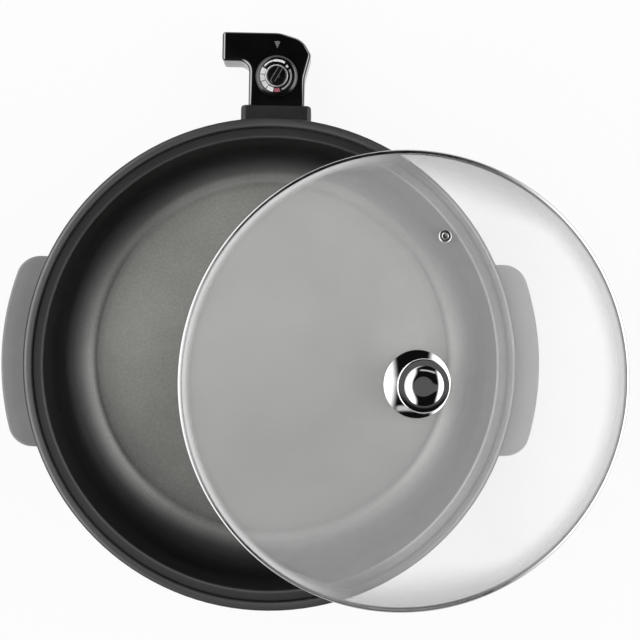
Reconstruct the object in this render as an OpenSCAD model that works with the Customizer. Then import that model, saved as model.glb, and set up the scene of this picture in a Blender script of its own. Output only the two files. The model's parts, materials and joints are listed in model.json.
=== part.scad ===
// Electric pizza maker: a shallow round pan with a cast-in heater, a plug-in thermostat control
// and a loose domed glass lid that is laid across the pan.
// Millimetres. The origin is on the pan's axis at table level, +Z up, +Y towards the control.

/* [Pan] */
// Diameter over the rolled bead
pan_d = 420; // [400:1:440]
// Depth from the lid ledge to the floor
pan_depth = 50; // [46:1:60]
// Thickness of the floor
floor_t = 5; // [4:0.5:7]
// Thickness of the wall
wall_t = 3.5; // [3:0.25:4.5]
// Diameter of the rolled bead
bead_d = 8; // [7:0.5:10]
// Width of the ledge that the lid sits on
ledge_w = 8.5; // [7:0.5:10]
// Drop from the top of the bead to the ledge
ledge_drop = 4; // [3:0.5:5]
// Radius of the dark groove between bead and ledge
bead_groove_r = 0.9; // [0.5:0.1:1.2]
// Bevel on the inner lip of the ledge
lip_bevel = 1; // [0.5:0.1:1.5]
// Radius of the cove between wall and floor
cove_r = 26; // [22:1:30]
// Slope of the wall from upright, in degrees
wall_slope = 12; // [6:1:16]
// Depth of the step around the cooking floor
floor_step = 0.8; // [0.4:0.1:1.4]
// Height of the floor's underside above the table
floor_clear = 26; // [24:1:32]

/* [Heating element] */
// Diameter of the heating ring at its tube's centre
ring_d = 230; // [200:1:250]
// Diameter of the sheathed tube
tube_d = 6.6; // [6:0.1:7.5]
// Depth of the cast channel that holds the tube
channel_h = 7.5; // [7:0.1:9]
// Thickness of the channel's sides
channel_side = 4.4; // [3:0.1:6]
// Radius of the bends at the tube's two ends
end_bend_r = 14; // [12:1:20]
// Distance between the two contact pins
pin_spacing = 22; // [20:0.5:24]
// Diameter of a contact pin
pin_d = 4; // [3.5:0.1:4.5]
// Length of the ceramic bead on each pin
bead_len = 4; // [3:0.5:6]
// Angle from the control's direction to the nearest clip on each side
rear_clip = 26; // [20:1:32]
// Width of a clip
clip_w = 9; // [7:0.5:12]
// Thickness of a clip
clip_t = 1.2; // [0.8:0.1:2]
// Radius of a clip screw's boss
clip_boss_r = 4.2; // [3.5:0.1:5]

/* [Side grips] */
// Length of a grip
grip_len = 164; // [140:1:172]
// Turn of each grip about the pan's middle towards the control, in degrees
grip_turn = 2; // [0:0.25:3]
// How far a grip stands out past the bead
grip_reach = 21; // [17:1:26]
// Height of a grip
grip_h = 15; // [13:0.5:18]
// Gap between the bead and the top of a grip
grip_drop = 5; // [4:0.5:8]
// Radius of a grip's outer corners
grip_corner_r = 21; // [14:1:24]
// Rounding along a grip's edges
grip_edge_r = 2.5; // [1.5:0.25:4]
// Air gap between the pan's wall and a grip
grip_gap = 1.5; // [1:0.25:3]
// Wall left around the cored underside of a grip
grip_shell = 5.5; // [4:0.5:7]
// Depth of the cored underside
grip_core_depth = 9; // [6:0.5:10]
// Distance of a grip's ears from its middle
ear_offset = 52; // [44:1:58]
// Width of an ear
ear_w = 16; // [14:0.5:20]
// Thickness of an ear
ear_t = 4; // [3:0.25:5]

/* [Feet] */
// Diameter of the circle that the feet stand on
foot_circle_d = 292; // [284:1:296]
// Diameter of a foot at its top
foot_top_d = 22; // [20:0.5:26]
// Diameter of a foot at the table
foot_base_d = 18; // [15:0.5:22]
// Height of a foot
foot_h = 20; // [18:0.5:22]

/* [Socket guard] */
// Width of the guard
guard_w = 61.5; // [58:0.5:68]
// Thickness of the guard's walls
guard_wall = 3; // [2:0.25:4]
// How far the guard stands out past the bead
guard_reach = 16; // [12:0.5:18]
// Bevel around the guard's mouth
guard_bevel = 2.5; // [1:0.25:4]
// Radius of the guard's long edges
guard_corner_r = 5; // [3:0.5:7]
// Gap above and below the control in the guard
guard_play = 1.5; // [1:0.25:3]
// Distance of the guard's screws from its middle
guard_screw_x = 20; // [18:0.5:21]

/* [Control] */
// Width of the control's neck
neck_w = 49; // [46:0.2:51]
// Depth of the cross bar at the back
bar_depth = 25.5; // [23:0.5:31]
// Reach of the cross bar to the left of the neck's middle
bar_left = 48.4; // [44:0.2:56]
// Reach of the rounded shoulder to the right
shoulder_right = 29.2; // [27:0.2:33]
// Distance from the bead to the back of the control
control_reach = 80.4; // [77:0.2:90]
// How far the neck enters the guard
neck_entry = 7; // [5:0.5:9]
// Depth of the control below the pins
control_below = 14; // [13:0.5:17]
// Height of the control above the pins
control_above = 22; // [20:0.5:26]
// Height of the parting line above the pins
parting_above = 5.2; // [5:0.1:7]
// Thickness of the shells
shell_t = 2.5; // [2:0.1:3]
// Rounding along the shells' edges
shell_edge_r = 2.6; // [1.5:0.1:3]
// Radius of the hollow corner between bar and neck
crook_r = 9; // [6:0.5:12]
// Radius of the bore in the cord inlet
inlet_bore_r = 3.6; // [3:0.1:4.2]
// Thickness of the cord inlet's wall
inlet_wall = 2; // [1.5:0.1:2.5]
// Diameter of the temperature probe
probe_d = 6; // [5:0.1:6.5]
// How far the probe reaches into its boss
probe_reach = 20; // [12:1:24]
// Length of the probe's boss under the pan
probe_boss_len = 26; // [26:1:30]
// How far the pins enter the control
pin_entry = 16; // [12:0.5:17]
// Length of the contact sleeves
sleeve_len = 17; // [17:0.1:18]
// Wall of a contact sleeve
sleeve_t = 1.1; // [0.8:0.1:1.3]

/* [Dial] */
// Diameter of the dial's skirt
dial_d = 37; // [33:0.5:40]
// Height of the dial's skirt
dial_h = 4.6; // [3.5:0.1:6]
// Distance from the control's back to the dial's centre
dial_inset = 38.8; // [37:0.2:42]
// Depth of the seat that the dial turns in
dial_seat_depth = 1; // [0.6:0.1:1.5]
// Diameter of the finger grip
dial_grip_d = 17; // [14:0.5:20]
// Lean of the grip's bar, in degrees from +X
dial_bar_angle = 60; // [0:5:180]
// Diameter of the spindle
spindle_d = 6; // [5:0.1:7]

/* [Lid] */
// Play between the lid's band and the groove of the ledge
lid_play = 4; // [3:0.25:5]
// Rise of the glass dome
glass_rise = 26; // [23:0.5:33]
// Thickness of the glass
glass_t = 4; // [3.5:0.25:5]
// Thickness of the steel band
band_t = 0.6; // [0.4:0.05:1]
// Width of the band's lips
band_lip = 3; // [2:0.25:5]
// How far the lid is pushed off the pan's axis
lid_shift = 120; // [96:1:126]
// Direction in which the lid is pushed, in degrees from +X
lid_heading = -6; // [-20:1:20]
// Distance of the steam vent from the lid's axis
vent_reach = 126; // [110:1:140]
// Direction of the steam vent on the lid, in degrees
vent_heading = 85; // [60:1:120]
// Diameter of the steam vent's hole
vent_d = 4.8; // [4:0.1:6]
// Diameter of the steam vent's flange
vent_flange_d = 11.5; // [10:0.1:14]

/* [Knob] */
// Diameter of the knob's flared foot
knob_foot_d = 57; // [50:0.5:64]
// Height of the flared foot
knob_foot_h = 13; // [11:0.5:16]
// Diameter of the knob's waist
knob_waist_d = 19; // [16:0.5:22]
// Diameter of the knob's top
knob_top_d = 45; // [40:0.5:50]
// Height of the knob's top above its foot
knob_grip_h = 11.6; // [10:0.2:14]
// Radius of the rolled rim of the knob
knob_rim_r = 1.4; // [1:0.1:2]
// Diameter of the dish in the knob's top
knob_dish_d = 33; // [28:0.5:36]
// Depth of the dish in the knob's top
knob_dish = 3; // [1.5:0.1:4]
// Diameter of the knob's screw
knob_screw_d = 5; // [4:0.1:6]

/* [Clearances] */
// Gap between pieces that only rest on each other
rest_gap = 0.3; // [0.1:0.05:0.5]
// Radial gap between a screw or tube and its hole
hole_gap = 0.12; // [0.05:0.01:0.2]
// Radial running gap of the dial's spindle
spindle_gap = 0.05; // [0.02:0.01:0.1]
// Radial gap between a pin and its sleeve
pin_gap = 0.3; // [0.2:0.05:0.5]

/* [Hidden] */
$fn = 72;
merge = 1;

// Pan: heights and radii
pan_r = pan_d / 2;
bead_r = bead_d / 2;
bead_ring_r = pan_r - bead_r;
ledge_out = pan_r - bead_d;
ledge_in = ledge_out - ledge_w;
under_z = floor_clear;
floor_z = under_z + floor_t;
ledge_z = floor_z + pan_depth;
rim_z = ledge_z + ledge_drop;
bead_z = rim_z - bead_r;
cove_z = floor_z + cove_r;
slope_run = (pan_depth - cove_r + cove_r * sin(wall_slope)) * tan(wall_slope);
floor_r = ledge_in - cove_r * cos(wall_slope) - slope_run;
step_margin = 1.5;

// Outer radius of the sloping wall at height z
function wall_out(z) =
    floor_r + (cove_r + wall_t) * cos(wall_slope)
    + (z - cove_z + (cove_r + wall_t) * sin(wall_slope)) * tan(wall_slope);

// Screws: shank radius, head radius and head height of the three sizes used
small_screw = [1.25, 2.6, 1.6];
medium_screw = [1.5, 2.8, 2];
large_screw = [2, 4, 2.6];
screw_slot_w = 0.8;
screw_slot_h = 0.6;

// Heating element
tube_r = tube_d / 2;
ring_r = ring_d / 2;
channel_z = under_z - channel_h;
tube_z = channel_z + tube_r + hole_gap;
tube_x = pin_spacing / 2;
bend_angle = acos((tube_x + end_bend_r) / (ring_r + end_bend_r));
bend_y = (ring_r + end_bend_r) * sin(bend_angle);
collar_len = 6;
collar_t = 0.4;
channel_end_gap = 4;
channel_gap = 90 - bend_angle + channel_end_gap;
channel_half = tube_r + hole_gap + channel_side;
clip_boss_gap = 0.6;
clip_screw_run = channel_half + clip_boss_r + clip_boss_gap;
clip_angles = [90 + rear_clip, 180, 270, 360, 450 - rear_clip];
clip_hole_depth = 5;

// Socket guard and the pins in it
guard_wall_gap = 1;
guard_y = floor_r + cove_r + wall_t + guard_wall_gap;
guard_mouth = pan_r + guard_reach;
guard_floor_y = guard_y + guard_wall;
tube_stub = 3;
tube_end_y = guard_floor_y + tube_stub;
pin_r = pin_d / 2;
control_z = tube_z - control_below;
control_top = tube_z + control_above;
guard_z0 = control_z - guard_play - guard_wall;
guard_z1 = control_top + guard_play + guard_wall;
guard_screw_drop = 6.2;
guard_screw_z = guard_z1 - guard_wall - guard_screw_drop;
guard_screw_bite = 8;
lug_half = 6;

// Side grips and the ears that carry them
grip_top = rim_z - bead_d - grip_drop;
grip_z = grip_top - grip_h;
grip_in = wall_out(grip_top) + grip_gap;
grip_out = pan_r + grip_reach;
grip_half = grip_len / 2;
grip_roof = 3;
grip_screw_bite = grip_h - ear_t - grip_roof;
ear_inset = 8;
ear_end = (grip_in + grip_out) / 2 - ear_inset;

// Feet
foot_recess_room = 0.8;
foot_recess_r = large_screw[1] + foot_recess_room;
foot_recess_h = 8;
foot_screw_bite = 6;

// Control
neck_y = guard_mouth - neck_entry;
control_back = pan_r + control_reach;
bar_front = control_back - bar_depth;
bar_mid = control_back - bar_depth / 2;
parting_z = tube_z + parting_above;
shell_floor = control_z + shell_t;
shell_roof = control_top - shell_t;
neck_half = neck_w / 2;
pin_tip = neck_y + pin_entry;
probe_r = probe_d / 2;
probe_boss_inset = 2;
probe_boss_wall = 3.4;
tube_room = 0.6;
probe_boss_half = tube_x - tube_r - tube_room;
probe_end_room = 2;
probe_boss_y = floor_r - probe_boss_inset;
probe_boss_z = tube_z - probe_r - probe_boss_wall;
probe_tip = probe_boss_y - probe_reach;
sleeve_r = pin_r + pin_gap + sleeve_t;
sleeve_y = neck_y + shell_t + rest_gap;
sleeve_end = sleeve_y + sleeve_len;
sleeve_proud = 1.5;
carrier_wall = 1.4;
carrier_half = tube_x + sleeve_r + carrier_wall;
carrier_len = sleeve_len - sleeve_proud;
pin_hole_room = 0.9;
inlet_r = inlet_bore_r + inlet_wall;
inlet_len = 8.5;
inlet_flange = 1.5;
inlet_flange_t = 2;

// Control: the screw bosses, each sunk a little into the shell's walls
boss_r = 4.4;
boss_gap = 1;
boss_sink = 1;
boss_front_y = sleeve_end + boss_r + boss_gap;
boss_side_x = neck_half - shell_t - boss_r + boss_sink;
bar_boss_inset = 16;
shoulder_boss = [12, 14.5];
control_bosses = [
    [-boss_side_x, boss_front_y],
    [boss_side_x, boss_front_y],
    [-bar_left + bar_boss_inset, control_back - shell_t - boss_r + boss_sink],
    [shoulder_right - shoulder_boss.x, control_back - shoulder_boss.y]
];
control_recess = 3;
cover_bite = 9;

// Control: the outline, with the shoulder's corners as [in from the right, in from the back, radius]
bar_corner_r = 3;
shoulder_start = 14;
shoulder_start_r = 20;
shoulder_corners = [[-0.6, 19, 4], [7, 6, 16], [27, 0, 26]];
control_outline = rounded_outline([
    [neck_half, neck_y, 0],
    [neck_half, bar_front - shoulder_start, shoulder_start_r],
    for (c = shoulder_corners) [shoulder_right - c[0], control_back - c[1], c[2]],
    [-bar_left, control_back, bar_corner_r],
    [-bar_left, bar_front, bar_corner_r],
    [-neck_half, bar_front, crook_r],
    [-neck_half, neck_y, 0]
], 5);

// Dial and thermostat
dial_y = control_back - dial_inset;
dial_r = dial_d / 2;
dial_seat_z = control_top - dial_seat_depth;
dial_z = dial_seat_z + rest_gap;
dial_face_z = dial_z + dial_h;
dial_grip_r = dial_grip_d / 2;
dial_seat_room = 0.6;
dial_bevel = 2.6;
dial_ring_w = 1.3;
dial_ring_h = 0.9;
dial_hub_h = 2.6;
dial_bar_h = 5;
dial_bar_w = 4.6;
dial_bar_margin = 0.4;
pointer_w = 1;
pointer_depth = 0.4;
spindle_r = spindle_d / 2;
spindle_bite = 3.5;
bush_wall = 1.1;
bush_r = spindle_r + spindle_gap + bush_wall;
nut_wall = 1.6;
nut_h = 2.4;
frame_t = 1.2;
frame_half = 10;
frame_reach = 6.2;
frame_overhang = 10;
frame_rise = 6;
frame_front = dial_y - frame_reach;
frame_back = dial_y + frame_overhang;
frame_inner_back = frame_back - frame_t;
frame_top = parting_z + frame_rise;
blade_z = tube_z;
blade_t = 0.8;
blade_w = 6;
cam_drop = 1.4;
cam_z = parting_z - cam_drop;
cam_h = 2.4;
cam_throw = 1;
cam_lift = 2.2;
cam_gap = 0.4;
spring_z = cam_z - cam_gap - blade_t;
spring_w = 7;
spring_setback = 1;
rivet_r = 1.5;
rivet_gap = 0.3;
rivet_inset = 4;

// Window in the cover and the lamp under it
lens_inset = 11;
lens_y = control_back - lens_inset;
lens_side = 5.4;
lens_h = 6.6;
lens_flange = 1;
lens_proud = 0.2;
lamp_r = 2.6;
lamp_rise = 2;

// Lid: a shell about one sphere centre, carried on the bead of the pan
lid_r = ledge_out - lid_play;
band_gap = 0.15;
band_margin = 1.7;
glass_edge_r = lid_r - band_margin;
dome_r = (glass_edge_r * glass_edge_r + glass_rise * glass_rise) / (2 * glass_rise);
dome_out = dome_r + glass_t / 2;
dome_in = dome_r - glass_t / 2;
band_out = dome_out + band_gap + band_t;
band_in = dome_in - band_gap - band_t;
edge_angle = asin(glass_edge_r / dome_r);
degrees_per_mm = 180 / (PI * dome_r);
rest_reach = band_in - bead_r - rest_gap;
dome_centre_z = bead_z - sqrt(rest_reach * rest_reach - bead_ring_r * bead_ring_r);
lid_tilt = asin(lid_shift / (dome_r * cos(edge_angle)));
vent_angle = asin(vent_reach / dome_r);
vent_r = vent_d / 2;
vent_wall = 1.1;
vent_tube_r = vent_r + vent_wall;
vent_flange_t = 1;
vent_flange_taper = 1.6;
vent_seat = 0.05;

// Knob, stacked upwards from the top of the dome
knob_screw_r = knob_screw_d / 2;
knob_hole_room = 1.2;
knob_hole_r = knob_screw_r + knob_hole_room;
knob_bite = 7;
knob_head_h = 3;
gasket_t = 1.2;
gasket_r = 13;
inner_gasket_r = 11;
knob_washer_t = 1.2;
knob_washer_margin = 1;
knob_flange_h = 0.8;
knob_flange_rise = 7.6;
knob_rim_step = 0.4;
knob_dish_flat = 7;
inner_seat_gap = 0.03;
knob_base_z = dome_out + gasket_t;
knob_waist_z = knob_base_z + knob_foot_h;
knob_waist_r = knob_waist_d / 2;
knob_top_r = knob_top_d / 2;
inner_seat_z = dome_in - inner_gasket_r * inner_gasket_r / (2 * dome_in) - inner_seat_gap;
knob_washer_z = inner_seat_z - gasket_t - knob_washer_t;

// Plane helpers

// Points along an arc from angle a0 to a1; first = 1 leaves out the starting point
function arc(centre, r, a0, a1, steps, first = 0) =
    [for (i = [first : steps]) let (a = a0 + (a1 - a0) * i / steps) centre + r * [cos(a), sin(a)]];

function unit(v) = v / norm(v);

function turned(a) = a > 180 ? a - 360 : a < -180 ? a + 360 : a;

// The corner at p between its neighbours, rounded to radius r
function round_corner(before, p, after, r, steps) =
    let (
        u = unit(before - p),
        w = unit(after - p),
        half = acos(u * w) / 2,
        centre = p + unit(u + w) * r / sin(half),
        from = p + u * r / tan(half) - centre,
        to = p + w * r / tan(half) - centre,
        a0 = atan2(from.y, from.x),
        sweep = turned(atan2(to.y, to.x) - a0)
    )
    arc(centre, r, a0, a0 + sweep, steps);

// An outline from corners [x, y, radius]; radius 0 keeps the corner sharp
function rounded_outline(corners, steps = 6) =
    let (count = len(corners))
    [
        for (i = [0 : count - 1])
            let (
                c = corners[i],
                before = corners[(i + count - 1) % count],
                after = corners[(i + 1) % count]
            )
            each (
                c[2] == 0
                ? [[c.x, c.y]]
                : round_corner([before.x, before.y], [c.x, c.y], [after.x, after.y], c[2], steps)
            )
    ];

// The same outline, run anticlockwise, moved inwards by d
function inset_outline(outline, d) =
    let (count = len(outline))
    [
        for (i = [0 : count - 1])
            let (
                p = outline[i],
                e0 = unit(p - outline[(i + count - 1) % count]),
                e1 = unit(outline[(i + 1) % count] - p),
                n0 = [-e0.y, e0.x],
                n1 = [-e1.y, e1.x]
            )
            p + d * (n0 + n1) / (1 + n0 * n1)
    ];

// A solid skinned over copies of one outline at levels [height, inset].
// Its two flat ends are fanned out from the point hub, which sees the whole outline.
module lofted(outline, levels, hub) {
    count = len(outline);
    last = len(levels) - 1;
    hubs = count * (last + 1);
    polyhedron(
        points = concat(
            [
                for (level = levels)
                    for (p = inset_outline(outline, level[1])) [p.x, p.y, level[0]]
            ],
            [[hub.x, hub.y, levels[0][0]], [hub.x, hub.y, levels[last][0]]]
        ),
        faces = [
            for (i = [0 : count - 1])
                let (j = (i + 1) % count, top = last * count)
                each [[hubs, i, j], [hubs + 1, top + j, top + i]],
            for (k = [0 : last - 1])
                for (i = [0 : count - 1])
                    let (a = k * count, b = a + count, j = (i + 1) % count)
                    each [[a + i, b + i, b + j], [a + i, b + j, a + j]]
        ]
    );
}

// Levels of a rounded upper or lower edge that ends at height z
function edge_up(z, r, steps = 4) =
    [for (i = [0 : steps]) let (a = 90 * i / steps) [z - r * (1 - sin(a)), r * (1 - cos(a))]];

function edge_down(z, r, steps = 4) =
    [for (i = [steps : -1 : 0]) let (a = 90 * i / steps) [z + r * (1 - sin(a)), r * (1 - cos(a))]];

// A wedge of the profile plane from the axis direction a0 to a1, as seen from the origin
module polar_wedge(a0, a1, reach) {
    polygon([[0, 0], reach * [sin(a0), cos(a0)], reach * [sin(a1), cos(a1)]]);
}

// A spherical shell's profile between two radii and two angles from the axis
module dome_profile(r_in, r_out, a0, a1) {
    intersection() {
        difference() {
            circle(r = r_out, $fn = 360);
            circle(r = r_in, $fn = 360);
        }
        polar_wedge(a0, a1, 2 * r_out);
    }
}

// A screw standing on its head at the origin, shank upwards
module screw(size, shank_len) {
    difference() {
        cylinder(r = size[1], h = size[2]);
        translate([-size[1], -screw_slot_w / 2, -merge])
            cube([2 * size[1], screw_slot_w, merge + screw_slot_h]);
    }
    translate([0, 0, size[2]]) cylinder(r = size[0], h = shank_len);
}

module at_feet() {
    for (a = [45 : 90 : 315]) rotate(a) translate([foot_circle_d / 2, 0, 0]) children();
}

// Pan

// The space inside the bowl, grown outwards by e, up to the ledge
module bowl_profile(e) {
    r = cove_r + e;
    foot = [floor_r + r * cos(wall_slope), cove_z - r * sin(wall_slope)];
    top_x = foot.x + (ledge_z - foot.y) * tan(wall_slope);
    left = floor_r - merge;
    intersection() {
        union() {
            translate([0, floor_z - e]) square([floor_r, pan_depth + e]);
            translate([floor_r, cove_z]) circle(r = r, $fn = 180);
            polygon([[left, cove_z], foot, [top_x, ledge_z], [left, ledge_z]]);
        }
        square([pan_r, ledge_z]);
    }
}

module pan_profile() {
    difference() {
        union() {
            bowl_profile(wall_t);
            translate([0, under_z]) square([floor_r, floor_t]);
            translate([ledge_in + wall_t / 2, ledge_z - wall_t])
                square([bead_ring_r - ledge_in - wall_t / 2, wall_t]);
            translate([bead_ring_r, bead_z]) circle(r = bead_r);
        }
        bowl_profile(0);
        translate([0, floor_z - floor_step]) square([floor_r - step_margin, floor_step + merge]);
        translate([ledge_out, ledge_z]) circle(r = bead_groove_r);
        polygon([
            [ledge_in - merge, ledge_z + merge],
            [ledge_in + lip_bevel + merge, ledge_z + merge],
            [ledge_in - merge, ledge_z - lip_bevel - merge]
        ]);
    }
}

module heater_channel() {
    rotate_extrude(start = 90 + channel_gap, angle = 360 - 2 * channel_gap)
        difference() {
            translate([ring_r - channel_half, channel_z]) square([2 * channel_half, channel_h + merge]);
            translate([ring_r, tube_z]) circle(r = tube_r + hole_gap);
            translate([ring_r - tube_r - hole_gap, channel_z - merge])
                square([2 * (tube_r + hole_gap), tube_z - channel_z + merge]);
        }
}

module at_clips() {
    for (a = clip_angles) rotate(a) translate([ring_r, 0, 0]) children();
}

// The two lugs behind the guard and the four ears under the grips, trimmed by the bowl
module pan_brackets() {
    difference() {
        union() {
            for (side = [-1, 1])
                translate([side * guard_screw_x - lug_half, floor_r, guard_screw_z - lug_half])
                    cube([2 * lug_half, guard_y - floor_r, 2 * lug_half]);
            at_ears() translate([-ear_w / 2, floor_r - pan_r, 0]) cube([ear_w, pan_r - floor_r, ear_t]);
            at_ears() cylinder(r = ear_w / 2, h = ear_t);
        }
        rotate_extrude() bowl_profile(wall_t / 2);
    }
}

module pan_body() {
    color("#3a3b3b")
        difference() {
            union() {
                rotate_extrude() pan_profile();
                heater_channel();
                pan_brackets();
                at_feet() translate([0, 0, foot_h])
                    cylinder(d = foot_top_d, h = under_z - foot_h + merge);
                at_clips()
                    for (side = [-1, 1])
                        translate([side * clip_screw_run, 0, channel_z])
                            cylinder(r = clip_boss_r, h = channel_h + merge);
                translate([-probe_boss_half, probe_boss_y - probe_boss_len, probe_boss_z])
                    cube([2 * probe_boss_half, probe_boss_len, under_z + merge - probe_boss_z]);
            }
            at_feet() translate([0, 0, foot_h - merge])
                cylinder(r = large_screw[0] + hole_gap, h = foot_screw_bite + 2 * merge);
            at_clips()
                for (side = [-1, 1])
                    translate([side * clip_screw_run, 0, channel_z - merge])
                        cylinder(r = small_screw[0] + hole_gap, h = clip_hole_depth + merge);
            translate([0, probe_boss_y + merge, tube_z]) rotate([90, 0, 0])
                cylinder(r = probe_r + rest_gap, h = probe_reach + probe_end_room + merge);
            at_ears() translate([0, 0, -merge])
                cylinder(r = medium_screw[0] + hole_gap, h = ear_t + 2 * merge);
            for (side = [-1, 1])
                translate([side * guard_screw_x, guard_y + merge, guard_screw_z])
                    rotate([90, 0, 0])
                        cylinder(r = medium_screw[0] + hole_gap, h = guard_screw_bite + merge);
        }
}

// Heating element, its clips and contacts

// A ring with two cold ends that run out to the back, crimped on by collars
module heating_element() {
    color("#8f8c86") translate([0, 0, tube_z]) {
        rotate_extrude(start = 180 - bend_angle, angle = 180 + 2 * bend_angle)
            translate([ring_r, 0]) circle(r = tube_r);
        for (side = [0, 1])
            mirror([side, 0, 0]) {
                translate([tube_x + end_bend_r, bend_y, 0])
                    rotate_extrude(start = 180, angle = bend_angle)
                        translate([end_bend_r, 0]) circle(r = tube_r);
                translate([tube_x, bend_y, 0]) rotate([-90, 0, 0])
                    cylinder(r = tube_r, h = tube_end_y - bend_y);
                rotate(bend_angle) translate([ring_r, collar_len / 2, 0]) rotate([90, 0, 0])
                    cylinder(r = tube_r + collar_t, h = collar_len);
            }
    }
}

module element_clips() {
    color("#b8bab8")
        at_clips()
            translate([0, 0, channel_z - clip_t])
                difference() {
                    union() {
                        translate([-clip_screw_run, -clip_w / 2, 0])
                            cube([2 * clip_screw_run, clip_w, clip_t]);
                        for (side = [-1, 1])
                            translate([side * clip_screw_run, 0, 0]) cylinder(d = clip_w, h = clip_t);
                    }
                    for (side = [-1, 1])
                        translate([side * clip_screw_run, 0, -merge])
                            cylinder(r = small_screw[0] + hole_gap, h = clip_t + 2 * merge);
                }
}

module clip_screws() {
    color("#c8c9c8")
        at_clips()
            for (side = [-1, 1])
                translate([side * clip_screw_run, 0, channel_z - clip_t - small_screw[2]])
                    screw(small_screw, clip_t + clip_hole_depth - rest_gap);
}

module terminal_pins() {
    color("#d4d2cb")
        for (side = [-1, 1])
            translate([side * tube_x, tube_end_y, tube_z]) rotate([-90, 0, 0]) {
                cylinder(r = pin_r, h = pin_tip - tube_end_y - pin_r / 2);
                translate([0, 0, pin_tip - tube_end_y - pin_r / 2])
                    cylinder(r1 = pin_r, r2 = pin_r / 2, h = pin_r / 2);
            }
}

module pin_beads() {
    color("#efe9dc")
        for (side = [-1, 1])
            translate([side * tube_x, tube_end_y, tube_z]) rotate([-90, 0, 0])
                difference() {
                    cylinder(r = tube_r, h = bead_len);
                    translate([0, 0, -merge]) cylinder(r = pin_r + hole_gap, h = bead_len + 2 * merge);
                }
}

// Socket guard

module socket_guard() {
    half = guard_w / 2;
    outline = rounded_outline([
        [half, guard_z0, guard_corner_r],
        [half, guard_z1, guard_corner_r],
        [-half, guard_z1, guard_corner_r],
        [-half, guard_z0, guard_corner_r]
    ]);
    color("#2c2d2d")
        difference() {
            rotate([90, 0, 0])
                lofted(
                    outline,
                    [[-guard_mouth, guard_bevel], [guard_bevel - guard_mouth, 0], [-guard_y, 0]],
                    [0, tube_z]
                );
            translate([guard_wall - half, guard_floor_y, guard_z0 + guard_wall])
                cube([
                    guard_w - 2 * guard_wall,
                    guard_mouth - guard_floor_y + merge,
                    guard_z1 - guard_z0 - 2 * guard_wall
                ]);
            for (x = [-tube_x, 0, tube_x])
                translate([x, guard_floor_y + merge, tube_z]) rotate([90, 0, 0])
                    cylinder(r = max(tube_r, probe_r) + rest_gap, h = guard_wall + 2 * merge);
            for (side = [-1, 1])
                translate([side * guard_screw_x, guard_floor_y + merge, guard_screw_z])
                    rotate([90, 0, 0])
                        cylinder(r = medium_screw[0] + hole_gap, h = guard_wall + 2 * merge);
        }
}

module guard_screws() {
    color("#c8c9c8")
        for (side = [-1, 1])
            translate([side * guard_screw_x, guard_floor_y + medium_screw[2], guard_screw_z])
                rotate([90, 0, 0])
                    screw(medium_screw, guard_wall + guard_screw_bite - rest_gap);
}

// Side grips

// The ears stand square to each grip and end just inside its outer edge
module at_ears() {
    for (turn = [-1, 1])
        rotate(turn * (90 - grip_turn))
            for (side = [-1, 1])
                translate([side * ear_offset, ear_end, grip_z]) children();
}

module grip() {
    corner_y = grip_half - grip_corner_r;
    corner_reach = grip_out - grip_corner_r;
    corner_x = sqrt(corner_reach * corner_reach - corner_y * corner_y);
    corner_a = atan2(corner_y, corner_x);
    end_a = asin(grip_half / grip_in);
    outline = concat(
        arc([0, 0], grip_out, -corner_a, corner_a, 16, 1),
        arc([corner_x, corner_y], grip_corner_r, corner_a, 90, 8, 1),
        arc([0, 0], grip_in, end_a, -end_a, 18),
        arc([corner_x, -corner_y], grip_corner_r, -90, -corner_a, 8)
    );
    core_half = ear_offset - ear_w / 2 - grip_shell;
    difference() {
        lofted(
            outline,
            concat(edge_down(grip_z, grip_edge_r / 2, 2), edge_up(grip_top, grip_edge_r)),
            [grip_out - 2 * grip_edge_r, 0]
        );
        translate([0, 0, grip_z - merge])
            linear_extrude(grip_core_depth + merge)
                intersection() {
                    difference() {
                        circle(r = grip_out - grip_shell, $fn = 180);
                        circle(r = grip_in + grip_shell, $fn = 180);
                    }
                    translate([0, -core_half]) square([2 * pan_r, 2 * core_half]);
                }
        for (side = [-1, 1])
            translate([0, side * ear_offset, grip_z - merge]) {
                translate([0, -ear_w / 2 - rest_gap, 0])
                    cube([ear_end, ear_w + 2 * rest_gap, merge + ear_t + rest_gap]);
                translate([ear_end, 0, 0])
                    cylinder(r = ear_w / 2 + rest_gap, h = merge + ear_t + rest_gap);
                translate([ear_end, 0, 0])
                    cylinder(r = medium_screw[0] + hole_gap, h = merge + ear_t + grip_screw_bite);
            }
    }
}

module right_grip() {
    color("#7a7a7a") rotate(grip_turn) grip();
}

module left_grip() {
    color("#7a7a7a") rotate(180 - grip_turn) grip();
}

module grip_screws() {
    color("#c8c9c8")
        at_ears()
            translate([0, 0, -medium_screw[2]])
                screw(medium_screw, ear_t + grip_screw_bite - rest_gap);
}

// Feet

module foot() {
    color("#1d1d1e")
        difference() {
            cylinder(d1 = foot_base_d, d2 = foot_top_d, h = foot_h);
            translate([0, 0, -merge]) cylinder(r = foot_recess_r, h = foot_recess_h + merge);
            cylinder(r = large_screw[0] + hole_gap, h = foot_h + merge);
        }
}

module foot_at(turn) {
    rotate(turn) translate([foot_circle_d / 2, 0, 0]) foot();
}

module front_left_foot() {
    foot_at(225);
}

module front_right_foot() {
    foot_at(315);
}

module rear_left_foot() {
    foot_at(135);
}

module rear_right_foot() {
    foot_at(45);
}

module foot_screws() {
    color("#c8c9c8")
        at_feet()
            translate([0, 0, foot_recess_h - large_screw[2]])
                screw(large_screw, foot_h - foot_recess_h + foot_screw_bite - rest_gap);
}

// Control: two shells that part at the cord inlet's axis

module control_loft(levels) {
    lofted(control_outline, levels, [0, bar_mid]);
}

module at_bosses(z) {
    for (p = control_bosses) translate([p.x, p.y, z]) children();
}

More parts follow.
